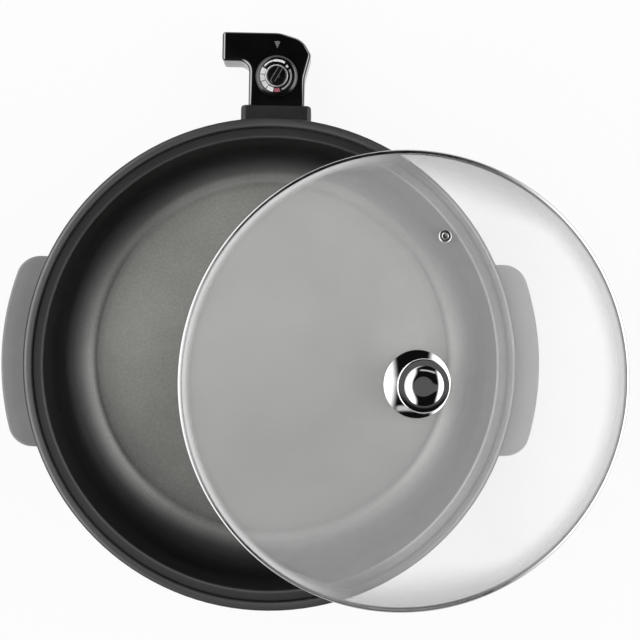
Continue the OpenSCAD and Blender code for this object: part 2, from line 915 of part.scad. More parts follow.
module inlet_cut() {
    translate([-bar_left - merge, bar_mid, parting_z]) rotate([0, 90, 0])
        cylinder(r = inlet_r + hole_gap, h = shell_t + 2 * merge);
}

module control_base() {
    color("#111112")
        difference() {
            union() {
                difference() {
                    control_loft(concat(edge_down(control_z, shell_edge_r), [[parting_z, 0]]));
                    control_loft([[shell_floor, shell_t], [parting_z + merge, shell_t]]);
                }
                at_bosses(shell_floor - merge) cylinder(r = boss_r, h = parting_z - shell_floor + merge);
            }
            at_bosses(control_z - merge)
                cylinder(r = medium_screw[1] + rest_gap, h = merge + control_recess);
            at_bosses(control_z)
                cylinder(r = medium_screw[0] + hole_gap, h = parting_z - control_z + merge);
            for (side = [-1, 1])
                translate([side * tube_x, neck_y - merge, tube_z]) rotate([-90, 0, 0])
                    cylinder(r = pin_r + pin_hole_room, h = shell_t + 2 * merge);
            translate([0, neck_y - merge, tube_z]) rotate([-90, 0, 0])
                cylinder(r = probe_r + hole_gap, h = shell_t + 2 * merge);
            inlet_cut();
        }
}

// The window's triangle, grown outwards
module lens_outline(grow) {
    half = lens_side / 2;
    front = lens_y - lens_h / 2;
    polygon(inset_outline([[0, front], [half, front + lens_h], [-half, front + lens_h]], -grow));
}

module control_cover() {
    color("#111112")
        difference() {
            union() {
                difference() {
                    control_loft(concat([[parting_z, 0]], edge_up(control_top, shell_edge_r)));
                    control_loft([[parting_z - merge, shell_t], [shell_roof, shell_t]]);
                }
                at_bosses(parting_z) cylinder(r = boss_r, h = shell_roof - parting_z + merge);
            }
            at_bosses(parting_z - merge) cylinder(r = medium_screw[0] + hole_gap, h = merge + cover_bite);
            translate([0, dial_y, dial_seat_z])
                cylinder(r = dial_r + dial_seat_room, h = dial_seat_depth + merge);
            translate([0, dial_y, shell_roof - merge])
                cylinder(r = bush_r + hole_gap, h = shell_t + 2 * merge);
            translate([0, 0, shell_roof - merge])
                linear_extrude(shell_t + 2 * merge) lens_outline(hole_gap);
            inlet_cut();
        }
}

module control_screws() {
    color("#c8c9c8")
        at_bosses(control_z + control_recess - medium_screw[2])
            screw(medium_screw, parting_z - control_z - control_recess + cover_bite - rest_gap);
}

module temperature_probe() {
    rear = frame_front - rest_gap;
    color("#c9cac7")
        translate([0, probe_tip + probe_r, tube_z]) {
            sphere(r = probe_r);
            rotate([-90, 0, 0]) cylinder(r = probe_r, h = rear - probe_tip - probe_r);
        }
}

module contact_carrier() {
    color("#d9d2c0")
        difference() {
            translate([-carrier_half, sleeve_y, shell_floor])
                cube([2 * carrier_half, carrier_len, parting_z - shell_floor - rest_gap]);
            for (side = [-1, 1])
                translate([side * tube_x, sleeve_y - merge, tube_z]) rotate([-90, 0, 0])
                    cylinder(r = sleeve_r + hole_gap, h = carrier_len + 2 * merge);
            translate([0, sleeve_y - merge, tube_z]) rotate([-90, 0, 0])
                cylinder(r = probe_r + hole_gap, h = carrier_len + 2 * merge);
        }
}

module contact_sleeves() {
    color("#c9a24a")
        for (side = [-1, 1])
            translate([side * tube_x, sleeve_y, tube_z]) rotate([-90, 0, 0])
                difference() {
                    cylinder(r = sleeve_r, h = sleeve_len);
                    translate([0, 0, -merge]) cylinder(r = pin_r + pin_gap, h = sleeve_len + 2 * merge);
                }
}

// A bent strip that stands on the base shell and carries the bush and the blades
module thermostat_frame() {
    color("#b8bab8")
        difference() {
            translate([frame_half, 0, 0]) rotate([0, -90, 0])
                linear_extrude(2 * frame_half)
                    difference() {
                        translate([shell_floor, frame_front])
                            square([frame_top + frame_t - shell_floor, frame_back - frame_front]);
                        translate([shell_floor + frame_t, frame_front - merge])
                            square([
                                frame_top - shell_floor - frame_t,
                                frame_inner_back - frame_front + merge
                            ]);
                    }
            translate([0, dial_y, frame_top - merge])
                cylinder(r = bush_r + hole_gap, h = frame_t + 2 * merge);
        }
}

module bimetal_blade() {
    color("#a08c6a")
        translate([-blade_w / 2, frame_front, blade_z])
            cube([blade_w, frame_inner_back - frame_front, blade_t]);
}

module spring_blade() {
    color("#c2b280")
        translate([-spring_w / 2, frame_front + spring_setback, spring_z])
            cube([spring_w, frame_inner_back - frame_front - spring_setback, blade_t]);
}

module contact_rivets() {
    bottom = blade_z + blade_t;
    half = (spring_z - bottom - rivet_gap) / 2;
    color("#d8d8d6")
        for (z = [bottom, spring_z - half])
            translate([0, frame_front + rivet_inset, z]) cylinder(r = rivet_r, h = half);
}

module spindle_bush() {
    color("#c9a24a")
        translate([0, dial_y, frame_top])
            difference() {
                union() {
                    cylinder(r = bush_r, h = dial_seat_z - frame_top - rest_gap);
                    translate([0, 0, frame_t]) cylinder(r = bush_r + nut_wall, h = nut_h, $fn = 6);
                }
                translate([0, 0, -merge])
                    cylinder(r = spindle_r + spindle_gap, h = dial_seat_z - frame_top + 2 * merge);
            }
}

module pilot_lens() {
    color("#b9bcbb") {
        translate([0, 0, shell_roof]) linear_extrude(shell_t + lens_proud) lens_outline(0);
        translate([0, 0, shell_roof - lens_flange]) linear_extrude(lens_flange) lens_outline(lens_flange);
    }
}

module pilot_lamp() {
    base = parting_z + lamp_rise;
    top = shell_roof - lens_flange - rest_gap;
    color("#e8a070")
        translate([0, lens_y, base]) {
            cylinder(r = lamp_r, h = top - base - lamp_r);
            translate([0, 0, top - base - lamp_r]) sphere(r = lamp_r);
        }
}

module cord_inlet() {
    color("#1a1a1a")
        translate([-bar_left, bar_mid, parting_z]) rotate([0, 90, 0])
            difference() {
                union() {
                    cylinder(r = inlet_r, h = inlet_len);
                    translate([0, 0, shell_t + hole_gap])
                        cylinder(r = inlet_r + inlet_flange, h = inlet_flange_t);
                }
                translate([0, 0, -merge]) cylinder(r = inlet_bore_r, h = inlet_len + 2 * merge);
            }
}

// Dial

module dial_skirt() {
    color("#141415")
        translate([0, dial_y, dial_z])
            rotate_extrude()
                polygon([
                    [spindle_r + hole_gap, 0],
                    [dial_r, 0],
                    [dial_r, dial_h / 2],
                    [dial_r - dial_bevel, dial_h],
                    [spindle_r + hole_gap, dial_h]
                ]);
}

module dial_ring() {
    color("#d5d7d6")
        translate([0, dial_y, dial_face_z])
            rotate_extrude()
                translate([dial_grip_r + hole_gap, 0]) square([dial_ring_w, dial_ring_h]);
}

module dial_grip() {
    bar_half = dial_grip_r - dial_bar_w / 2 - dial_bar_margin;
    bar_top = dial_hub_h + dial_bar_h;
    color("#141415")
        translate([0, dial_y, dial_face_z])
            difference() {
                union() {
                    cylinder(r = dial_grip_r, h = dial_hub_h);
                    rotate(dial_bar_angle) {
                        translate([-bar_half, -dial_bar_w / 2, 0])
                            cube([2 * bar_half, dial_bar_w, bar_top]);
                        for (side = [-1, 1])
                            translate([side * bar_half, 0, 0])
                                cylinder(d = dial_bar_w, h = bar_top);
                    }
                }
                translate([0, 0, -merge]) cylinder(r = spindle_r + hole_gap, h = merge + spindle_bite);
                rotate(dial_bar_angle)
                    translate([0, -pointer_w / 2, bar_top - pointer_depth])
                        cube([dial_grip_r, pointer_w, merge]);
            }
}

module dial_spindle() {
    color("#c9cac7")
        translate([0, dial_y, cam_z]) {
            cylinder(r = spindle_r, h = dial_face_z + spindle_bite - rest_gap - cam_z);
            translate([cam_throw, 0, 0]) cylinder(r = spindle_r + cam_lift, h = cam_h);
        }
}

// Lid, drawn about the centre of its dome

module lid_pose() {
    rotate(lid_heading) translate([0, 0, dome_centre_z]) rotate([0, lid_tilt, 0]) children();
}

module at_vent() {
    rotate(vent_heading) rotate([0, vent_angle, 0]) children();
}

module lid_glass() {
    color("#d9dedd", 0.5)
        lid_pose()
            difference() {
                rotate_extrude() dome_profile(dome_in, dome_out, 0, edge_angle);
                translate([0, 0, dome_in - glass_t]) cylinder(r = knob_hole_r, h = 3 * glass_t);
                at_vent() translate([0, 0, dome_in - glass_t])
                    cylinder(r = vent_tube_r + hole_gap, h = 3 * glass_t);
            }
}

module lid_band() {
    color("#cfd1d0")
        lid_pose()
            rotate_extrude()
                difference() {
                    dome_profile(
                        band_in,
                        band_out,
                        edge_angle - band_lip * degrees_per_mm,
                        edge_angle + (band_gap + band_t) * degrees_per_mm
                    );
                    dome_profile(
                        band_in + band_t,
                        band_out - band_t,
                        edge_angle - 2 * band_lip * degrees_per_mm,
                        edge_angle + band_gap * degrees_per_mm
                    );
                }
}

module vent_flange() {
    cylinder(d1 = vent_flange_d, d2 = vent_flange_d - vent_flange_taper, h = vent_flange_t);
}

module vent_eyelet() {
    color("#cfd1d0")
        lid_pose()
            at_vent()
                difference() {
                    union() {
                        translate([0, 0, dome_in - vent_flange_t])
                            cylinder(r = vent_tube_r, h = glass_t + 2 * vent_flange_t);
                        translate([0, 0, dome_out]) vent_flange();
                        translate([0, 0, dome_in - vent_seat]) mirror([0, 0, 1]) vent_flange();
                    }
                    translate([0, 0, dome_in - glass_t]) cylinder(r = vent_r, h = 3 * glass_t);
                }
}

module knob_foot() {
    flare_r = knob_foot_h - knob_flange_rise;
    color("#d2d4d4")
        lid_pose()
            translate([0, 0, knob_base_z])
                difference() {
                    rotate_extrude()
                        difference() {
                            polygon([
                                [0, 0],
                                [knob_foot_d / 2, 0],
                                [knob_foot_d / 2, knob_flange_h],
                                [knob_waist_r + flare_r, knob_foot_h - flare_r],
                                [knob_waist_r, knob_foot_h],
                                [0, knob_foot_h]
                            ]);
                            translate([knob_waist_r + flare_r, knob_foot_h]) circle(r = flare_r);
                        }
                    translate([0, 0, -merge])
                        cylinder(r = knob_screw_r + hole_gap, h = knob_foot_h + 2 * merge);
                }
}

module knob_grip() {
    flare_r = knob_grip_h - 2 * knob_rim_r - knob_rim_step;
    rim_x = knob_top_r - knob_rim_r;
    dish_z = knob_grip_h - knob_dish;
    dish_run = knob_dish_d / 2 - knob_dish_flat;
    dish_r = (dish_run * dish_run + knob_dish * knob_dish) / (2 * knob_dish);
    color("#d2d4d4")
        lid_pose()
            translate([0, 0, knob_waist_z])
                difference() {
                    rotate_extrude()
                        difference() {
                            union() {
                                polygon([
                                    [0, 0],
                                    [knob_waist_r, 0],
                                    [knob_waist_r + flare_r, flare_r],
                                    [rim_x, knob_grip_h - 2 * knob_rim_r],
                                    [rim_x, knob_grip_h],
                                    [0, knob_grip_h]
                                ]);
                                translate([rim_x, knob_grip_h - knob_rim_r]) circle(r = knob_rim_r);
                            }
                            translate([knob_waist_r + flare_r, 0]) circle(r = flare_r);
                            translate([0, dish_z]) square([knob_dish_flat, knob_dish + merge]);
                            intersection() {
                                translate([knob_dish_flat, dish_z + dish_r]) circle(r = dish_r, $fn = 180);
                                square([knob_top_r, knob_grip_h + merge]);
                            }
                        }
                    translate([0, 0, -merge])
                        cylinder(r = knob_screw_r + hole_gap, h = merge + knob_bite);
                }
}

// A flat ring under or over the glass at the knob
module knob_ring(z, r, t) {
    lid_pose()
        translate([0, 0, z])
            difference() {
                cylinder(r = r, h = t);
                translate([0, 0, -merge]) cylinder(r = knob_screw_r + hole_gap, h = t + 2 * merge);
            }
}

module knob_gasket() {
    color("#4a4a4a") knob_ring(dome_out, gasket_r, gasket_t);
}

module inner_gasket() {
    color("#4a4a4a") knob_ring(inner_seat_z - gasket_t, inner_gasket_r, gasket_t);
}

module knob_washer() {
    color("#cfd1d0")
        knob_ring(knob_washer_z, inner_gasket_r - knob_washer_margin, knob_washer_t);
}

module knob_screw() {
    size = [knob_screw_r, 2 * knob_screw_r, knob_head_h];
    color("#c8c9c8")
        lid_pose()
            translate([0, 0, knob_washer_z - knob_head_h])
                screw(size, knob_waist_z + knob_bite - rest_gap - knob_washer_z);
}

// Drawn pieces
pan_body();
heating_element();
element_clips();
clip_screws();
terminal_pins();
pin_beads();
socket_guard();
guard_screws();
left_grip();
right_grip();
grip_screws();
front_left_foot();
front_right_foot();
rear_left_foot();
rear_right_foot();
foot_screws();
control_base();
control_cover();
control_screws();
temperature_probe();
contact_carrier();
contact_sleeves();
thermostat_frame();
bimetal_blade();
spring_blade();
contact_rivets();
spindle_bush();
pilot_lamp();
pilot_lens();
cord_inlet();
dial_skirt();
dial_grip();
dial_ring();
dial_spindle();
lid_glass();
lid_band();
vent_eyelet();
knob_foot();
knob_grip();
knob_gasket();
inner_gasket();
knob_washer();
knob_screw();
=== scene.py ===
# The looks of an electric pizza maker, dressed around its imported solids.
# Shapes are drawn in millimetres and put into metres when a piece is finished.
import json
from math import asin, atan2, ceil, cos, degrees, pi, radians, sin, sqrt, tan

import bmesh
import bpy
from mathutils import Matrix, Vector


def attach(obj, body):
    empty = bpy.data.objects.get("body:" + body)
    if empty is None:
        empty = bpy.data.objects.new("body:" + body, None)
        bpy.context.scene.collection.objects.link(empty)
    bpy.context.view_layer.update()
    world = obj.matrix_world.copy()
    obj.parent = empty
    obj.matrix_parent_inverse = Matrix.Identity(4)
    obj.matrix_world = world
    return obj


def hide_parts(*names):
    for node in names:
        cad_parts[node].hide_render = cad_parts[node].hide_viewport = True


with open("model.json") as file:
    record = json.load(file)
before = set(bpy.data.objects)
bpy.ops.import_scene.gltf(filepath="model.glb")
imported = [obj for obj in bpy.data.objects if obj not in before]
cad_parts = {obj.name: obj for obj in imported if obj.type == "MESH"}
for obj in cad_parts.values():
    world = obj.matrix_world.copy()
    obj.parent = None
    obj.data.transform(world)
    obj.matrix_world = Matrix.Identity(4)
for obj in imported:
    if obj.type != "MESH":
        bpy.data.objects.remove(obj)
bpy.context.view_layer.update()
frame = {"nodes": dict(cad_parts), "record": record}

# Drawing: a tolerance, degrees and steps of arcs, steps of turned shapes, creases in degrees
MM = 0.001
TINY = 0.002
ARC_STEP = 7
ARC_LEAST = 3
SMALL_ARC = 4
EDGE_STEPS = 6
CORNER_STEPS = 8
ROUND_STEPS = 160
RIM_STEPS = 240
KNOB_STEPS = 128
DIAL_STEPS = 120
SMALL_DIAL_STEPS = 96
SMALL_STEPS = 72
HOLE_STEPS = 40
CREASE = 32
GLASS_CREASE = 40
FLAT_WEIGHT = 100

# Pan
PAN_R = 210
BEAD_D = 8
FLOOR_Z = 31
LEDGE_Z = 81
RIM_Z = 85
COVE_R = 26
WALL_SLOPE = radians(12)
LEDGE_OUT = PAN_R - BEAD_D
LEDGE_IN = LEDGE_OUT - 8.5
WALL_RUN = (LEDGE_Z - FLOOR_Z - COVE_R + COVE_R * sin(WALL_SLOPE)) * tan(WALL_SLOPE)
WALL_FOOT_R = LEDGE_IN - WALL_RUN
FLOOR_R = WALL_FOOT_R - COVE_R * cos(WALL_SLOPE)

# Feet
FOOT_CIRCLE_R = 146
FOOT_TOP_R = 11
FOOT_BASE_R = 9
FOOT_H = 20
FOOT_RECESS_R = 4.8
FOOT_RECESS_H = 8
FOOT_HOLE_R = 2.12
FOOT_RECESS_EDGE = 0.5
FOOT_BASE_EDGE = 1.2
FOOT_BASE_SWEEP = 84
FOOT_TOP_EDGE = 0.5
FOOT_TURNS = {"front_left_foot": 225, "front_right_foot": 315, "rear_left_foot": 135, "rear_right_foot": 45}

# Side grips
GRIP_IN = 196.7
GRIP_TURN = radians(2)
GRIP_OUT = PAN_R + 21
GRIP_HALF = 82
GRIP_CORNER_R = 21
GRIP_DROP = 5
GRIP_T = 15
GRIP_TOP = RIM_Z - BEAD_D - GRIP_DROP
GRIP_Z = GRIP_TOP - GRIP_T
GRIP_OUT_STEPS = 16
GRIP_IN_STEPS = 24
GRIP_EDGE = 2.5
GRIP_CORE_HALF = 38.5
GRIP_CORE_WALL = 5.5
GRIP_CORE_DEPTH = 9

# Socket guard and what passes through it
TUBE_Z = 21.92
TUBE_X = 11
GUARD_HALF = 30.75
GUARD_Z = (TUBE_Z - 18.5, TUBE_Z + 26.5)
GUARD_Y = (FLOOR_R + 30.5, PAN_R + 16)
GUARD_WALL = 3
GUARD_CORNER_R = 5
GUARD_BEVEL = 2.5
GUARD_BEVEL_STEPS = 2
GUARD_HOLE_R = 3.6

# Control: the outline's corners are x, y and radius
CONTROL_Z = TUBE_Z - 14
PARTING_Z = TUBE_Z + 5.2
CONTROL_TOP = TUBE_Z + 22
CONTROL_EDGE = 4.5
PARTING_EDGE = 0.3
NECK_Y = GUARD_Y[1] - 7
NECK_HALF = 24.5
CONTROL_BACK = PAN_R + 80.4
BAR_FRONT = CONTROL_BACK - 25.5
BAR_LEFT = 48.4
SHOULDER = 29.2
CONTROL_CORNERS = [
    (NECK_HALF, NECK_Y, 0),
    (NECK_HALF, BAR_FRONT - 14, 20),
    (SHOULDER + 0.6, CONTROL_BACK - 19, 4),
    (SHOULDER - 7, CONTROL_BACK - 6, 16),
    (SHOULDER - 27, CONTROL_BACK, 26),
    (-BAR_LEFT, CONTROL_BACK, 3),
    (-BAR_LEFT, BAR_FRONT, 3),
    (-NECK_HALF, BAR_FRONT, 9),
    (-NECK_HALF, NECK_Y, 0),
]
PIN_HOLE_R = 2.9
PIN_HOLE_DEPTH = 17
PROBE_HOLE_R = 3.12
LENS_Y = CONTROL_BACK - 11
LENS_SIDE = 5.4
LENS_H = 6.6
LENS_ROOM = 0.12
LENS_DEPTH = 2.4

# Dial
DIAL_Y = CONTROL_BACK - 38.8
DIAL_R = 18.5
SEAT_R = DIAL_R + 0.6
SEAT_DEPTH = 1
SEAT_ROOM = 0.3
DIAL_H = 4.6
DIAL_Z = CONTROL_TOP - SEAT_DEPTH + SEAT_ROOM
DIAL_FACE_Z = DIAL_Z + DIAL_H
DIAL_EDGE = 0.3
DIAL_SIDE_H = 2
DIAL_SIDE_R = 0.6
DIAL_SIDE_SWEEP = 45
DIAL_BEVEL = 2.6
DIAL_EASE_OUT = 0.3
DIAL_EASE_IN = 0.4
DIAL_EASE_DROP = 0.25
DIAL_HOLE_R = 3.12
DIAL_RING = (8.62, 9.92)
DIAL_RING_H = 0.9
DIAL_RING_EDGE = 0.2
DIAL_RING_STEPS = 5
DIAL_GRIP_R = 8.5
DIAL_HUB_H = 2.6
DIAL_HUB_EDGE = 0.6
DIAL_BAR_H = 5
DIAL_BAR_SINK = 0.2
DIAL_BAR_EDGE = 1.5
DIAL_BAR_EDGE_STEPS = 5
DIAL_BAR_ROUND = 0.98
DIAL_BAR_W = 4.6
DIAL_BAR_REACH = 8.1
DIAL_BAR_TURN = radians(60)
PRINT_H = 0.06
PRINT_SINK = 0.02
PRINT_STEP = 4

# Lid, drawn about the centre of its dome, which lies on the pan's axis
GLASS_EDGE_R = LEDGE_OUT - 5.7
GLASS_RISE = 26
GLASS_T = 4
GLASS_STEPS = 40
BAND_T = 0.6
BAND_LIP = 3
BAND_GAP = 0.15
BAND_ROUND = 2.2
LID_SHIFT = 120
LID_HEADING = radians(-6)
REST_GAP = 0.3
DOME_R = (GLASS_EDGE_R ** 2 + GLASS_RISE ** 2) / (2 * GLASS_RISE)
DOME_IN = DOME_R - GLASS_T / 2
DOME_OUT = DOME_R + GLASS_T / 2
BAND_IN = DOME_IN - BAND_GAP - BAND_T
BAND_OUT = DOME_OUT + BAND_GAP + BAND_T
EDGE_ANGLE = asin(GLASS_EDGE_R / DOME_R)
REST_REACH = BAND_IN - BEAD_D / 2 - REST_GAP
DOME_CENTRE_Z = RIM_Z - BEAD_D / 2 - sqrt(REST_REACH ** 2 - (PAN_R - BEAD_D / 2) ** 2)
LID_TILT = asin(LID_SHIFT / (DOME_R * cos(EDGE_ANGLE)))
KNOB_HOLE_R = 3.7
# Painted glow and shade along the glass edge: widest reach, reach on the high and low side, gap over the
# glass, fade and steps
RIM_LIGHT_W = 44
RIM_LIGHT_HIGH_W = 10
RIM_LIGHT_LOW_W = 26
RIM_LIGHT_GAP = 0.04
RIM_LIGHT_FADE = 2
RIM_LIGHT_STEPS = 16
VENT_REACH = 126
VENT_ANGLE = asin(VENT_REACH / DOME_R)
VENT_HEADING = radians(85)
VENT_R = 2.4
VENT_TUBE_R = 3.5
VENT_HOLE_ROOM = 0.1
VENT_FLANGE_R = 5.75
VENT_FLANGE_H = 1
VENT_MOUTH_R = 0.6
VENT_EDGE = 0.9
VENT_EDGE_R = 0.7
VENT_EDGE_SWEEP = 70
VENT_UNDER_EDGE = 0.8
VENT_ROOM = 0.05
DRILL_LEN = 20
DRILL_STEPS = 48
LID_POSE = (
    Matrix.Rotation(LID_HEADING, 4, "Z")
    @ Matrix.Translation((0, 0, DOME_CENTRE_Z))
    @ Matrix.Rotation(LID_TILT, 4, "Y")
)
VENT_POSE = LID_POSE @ Matrix.Rotation(VENT_HEADING, 4, "Z") @ Matrix.Rotation(VENT_ANGLE, 4, "Y")

# Knob
KNOB_GASKET_T = 1.2
KNOB_Z = DOME_OUT + KNOB_GASKET_T
KNOB_FOOT_R = 28.5
KNOB_FOOT_H = 13
KNOB_FOOT_EDGE = 0.3
KNOB_FOOT_STEPS = 16
KNOB_FLANGE_H = 0.8
KNOB_FLANGE_RISE = 7.6
KNOB_WAIST_R = 9.5
KNOB_TOP_R = 22.5
KNOB_GRIP_H = 11.6
KNOB_RIM_R = 1.4
KNOB_RIM_STEP = 0.4
KNOB_RIM_STEPS = 12
KNOB_DISH_R = 16.5
KNOB_DISH_FLAT = 7
KNOB_DISH = 3
KNOB_DISH_STEPS = 20
KNOB_SCREW_R = 2.62
KNOB_SCREW_DEPTH = 7


# Drawing helpers

PROFILE = Vector((0, -1, 0))
PLAN = Vector((0, 0, 1))
POINT = bmesh.types.BMVert
EDGE = bmesh.types.BMEdge


def only(parts, kind):
    """The points or edges among the parts of a shape."""
    return [part for part in parts if isinstance(part, kind)]


def point(u, v, turn):
    """A point (x, z) of a profile or (x, y) of a plan."""
    return Vector((u, v, 0)) if turn is PLAN else Vector((u, 0, v))


def draw(bm, start, moves, turn=PROFILE):
    """A chain of edges from start. A move is a point, or an arc: centre, degrees and perhaps its steps."""
    pen = bm.verts.new(point(*start, turn))
    first = pen
    for move in moves:
        if len(move) == 2:
            pen = bmesh.ops.extrude_vert_indiv(bm, verts=[pen])["verts"][0]
            pen.co = point(*move, turn)
            continue
        u, v, sweep, *given = move
        steps = given[0] if given else max(ARC_LEAST, ceil(abs(sweep) / ARC_STEP))
        centre = point(u, v, turn)
        swing = bmesh.ops.spin(bm, geom=[pen], cent=centre, axis=turn, angle=radians(sweep), steps=steps)
        pen = only(swing["geom_last"], POINT)[0]
    return first, pen


def close(bm, first, last):
    """Joins the two ends of a chain."""
    if (first.co - last.co).length > TINY:
        bm.edges.new((last, first))
    bmesh.ops.remove_doubles(bm, verts=bm.verts, dist=TINY)


def revolve(bm, steps):
    """Spins a profile once round the upright axis."""
    geom = bm.verts[:] + bm.edges[:]
    bmesh.ops.spin(bm, geom=geom, cent=(0, 0, 0), axis=PLAN, angle=2 * pi, steps=steps, use_merge=True)
    tidy(bm)


def turned(steps, start, moves):
    """A turned shape. Its profile is closed unless it starts and ends on the axis."""
    bm = bmesh.new()
    first, last = draw(bm, start, moves)
    if first.co.x > 0:
        close(bm, first, last)
    revolve(bm, steps)
    return bm


def tidy(bm):
    """Merges doubled points and turns the faces outwards."""
    bmesh.ops.remove_doubles(bm, verts=bm.verts, dist=TINY)
    bmesh.ops.recalc_face_normals(bm, faces=bm.faces)
    if bm.calc_volume(signed=True) < 0:
        bmesh.ops.reverse_faces(bm, faces=bm.faces)


def bevel(bm, geom, offset, affect, segments):
    """Rounds edges, or the corners of a face."""
    bmesh.ops.bevel(
        bm, geom=geom, offset=offset, offset_type="OFFSET", affect=affect, segments=segments,
        profile=0.5, material=-1, clamp_overlap=True,
    )


def oblong(half, low, high):
    """The corners of an oblong that reaches half to each side."""
    return [(half, low), (half, high), (-half, high), (-half, low)]


def rounded_face(bm, corners, z):
    """A flat face with rounded corners, each given as x, y and radius."""
    points = [Vector(corner[:2]) for corner in corners]
    verts = [bm.verts.new((*corner[:2], z)) for corner in corners]
    face = bm.faces.new(verts)
    for index, vert in enumerate(verts):
        radius = corners[index][2]
        if radius:
            before = points[index - 1] - points[index]
            after = points[(index + 1) % len(points)] - points[index]
            bevel(bm, [vert], radius / tan(before.angle(after) / 2), "VERTICES", CORNER_STEPS)
    bm.faces.ensure_lookup_table()
    return face if face.is_valid else bm.faces[-1]


def raised(bm, faces, height):
    """Pulls flat faces up into blocks, or down."""
    block = bmesh.ops.extrude_face_region(bm, geom=faces)
    bmesh.ops.translate(bm, vec=(0, 0, height), verts=only(block["geom"], POINT))
    tidy(bm)


def edges_at(bm, height):
    """The edges that lie level at a height."""
    return [edge for edge in bm.edges if all(abs(vert.co.z - height) < TINY for vert in edge.verts)]


def flat_face(bm, value, axis=2):
    """The largest face that lies in one plane across an axis."""
    flat = [face for face in bm.faces if all(abs(vert.co[axis] - value) < TINY for vert in face.verts)]
    return max(flat, key=lambda face: face.calc_area())


def ring(bm, radius, place, segments=HOLE_STEPS):
    """The edges of a circle, with place putting its flat plan where it belongs."""
    circle = bmesh.ops.create_circle(bm, cap_ends=False, segments=segments, radius=radius, matrix=place)
    return list({edge for vert in circle["verts"] for edge in vert.link_edges})


def loop(bm, corners, place):
    """The edges of a closed outline with straight sides."""
    verts = [bm.verts.new(place @ Vector((*corner, 0))) for corner in corners]
    return [bm.edges.new((verts[index - 1], vert)) for index, vert in enumerate(verts)]


def open_face(bm, face, loops):
    """Fills a flat face again so that the loops in it stay open."""
    border = face.edges[:]
    normal = face.normal.copy()
    bmesh.ops.delete(bm, geom=[face], context="FACES_ONLY")
    edges = border + [edge for edges in loops for edge in edges]
    bmesh.ops.triangle_fill(bm, use_beauty=True, edges=edges, normal=normal)


def pocket(bm, edges, depth):
    """Draws an open loop in by the vector depth and closes it there."""
    walls = bmesh.ops.extrude_edge_only(bm, edges=edges)["geom"]
    bmesh.ops.translate(bm, vec=depth, verts=only(walls, POINT))
    bmesh.ops.edgeloop_fill(bm, edges=only(walls, EDGE))


def meshed(name, bm):
    """A mesh of a drawn shape."""
    mesh = bpy.data.meshes.new(name)
    bm.to_mesh(mesh)
    bm.free()
    return mesh


def added(name, data):
    """A new object in the scene."""
    item = bpy.data.objects.new(name, data)
    bpy.context.scene.collection.objects.link(item)
    return item


def new_piece(name, bm, body, slot, nodes=(), place=None, finish=None, crease=CREASE):
    """Puts a drawn shape in its place as a piece that rides a body, in its slot's finish or another."""
    if place is not None:
        bmesh.ops.transform(bm, matrix=place, verts=bm.verts)
    bmesh.ops.scale(bm, vec=(MM, MM, MM), verts=bm.verts)
    mesh = meshed(name, bm)
    mesh.shade_smooth()
    mesh.set_sharp_from_angle(angle=radians(crease))
    mesh.materials.append(FINISH[finish or slot])
    piece = added(name, mesh)
    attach(piece, body)
    if nodes:
        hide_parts(*nodes)
    return piece


def evened(piece):
    """Keeps flat faces flat where they run into rounded edges."""
    normals = piece.modifiers.new("even_normals", "WEIGHTED_NORMAL")
    normals.keep_sharp = True
    normals.weight = FLAT_WEIGHT


# Materials


def rgb(red, green, blue):
    return (red, green, blue, 1)


def grey(value):
    return (value, value, value, 1)


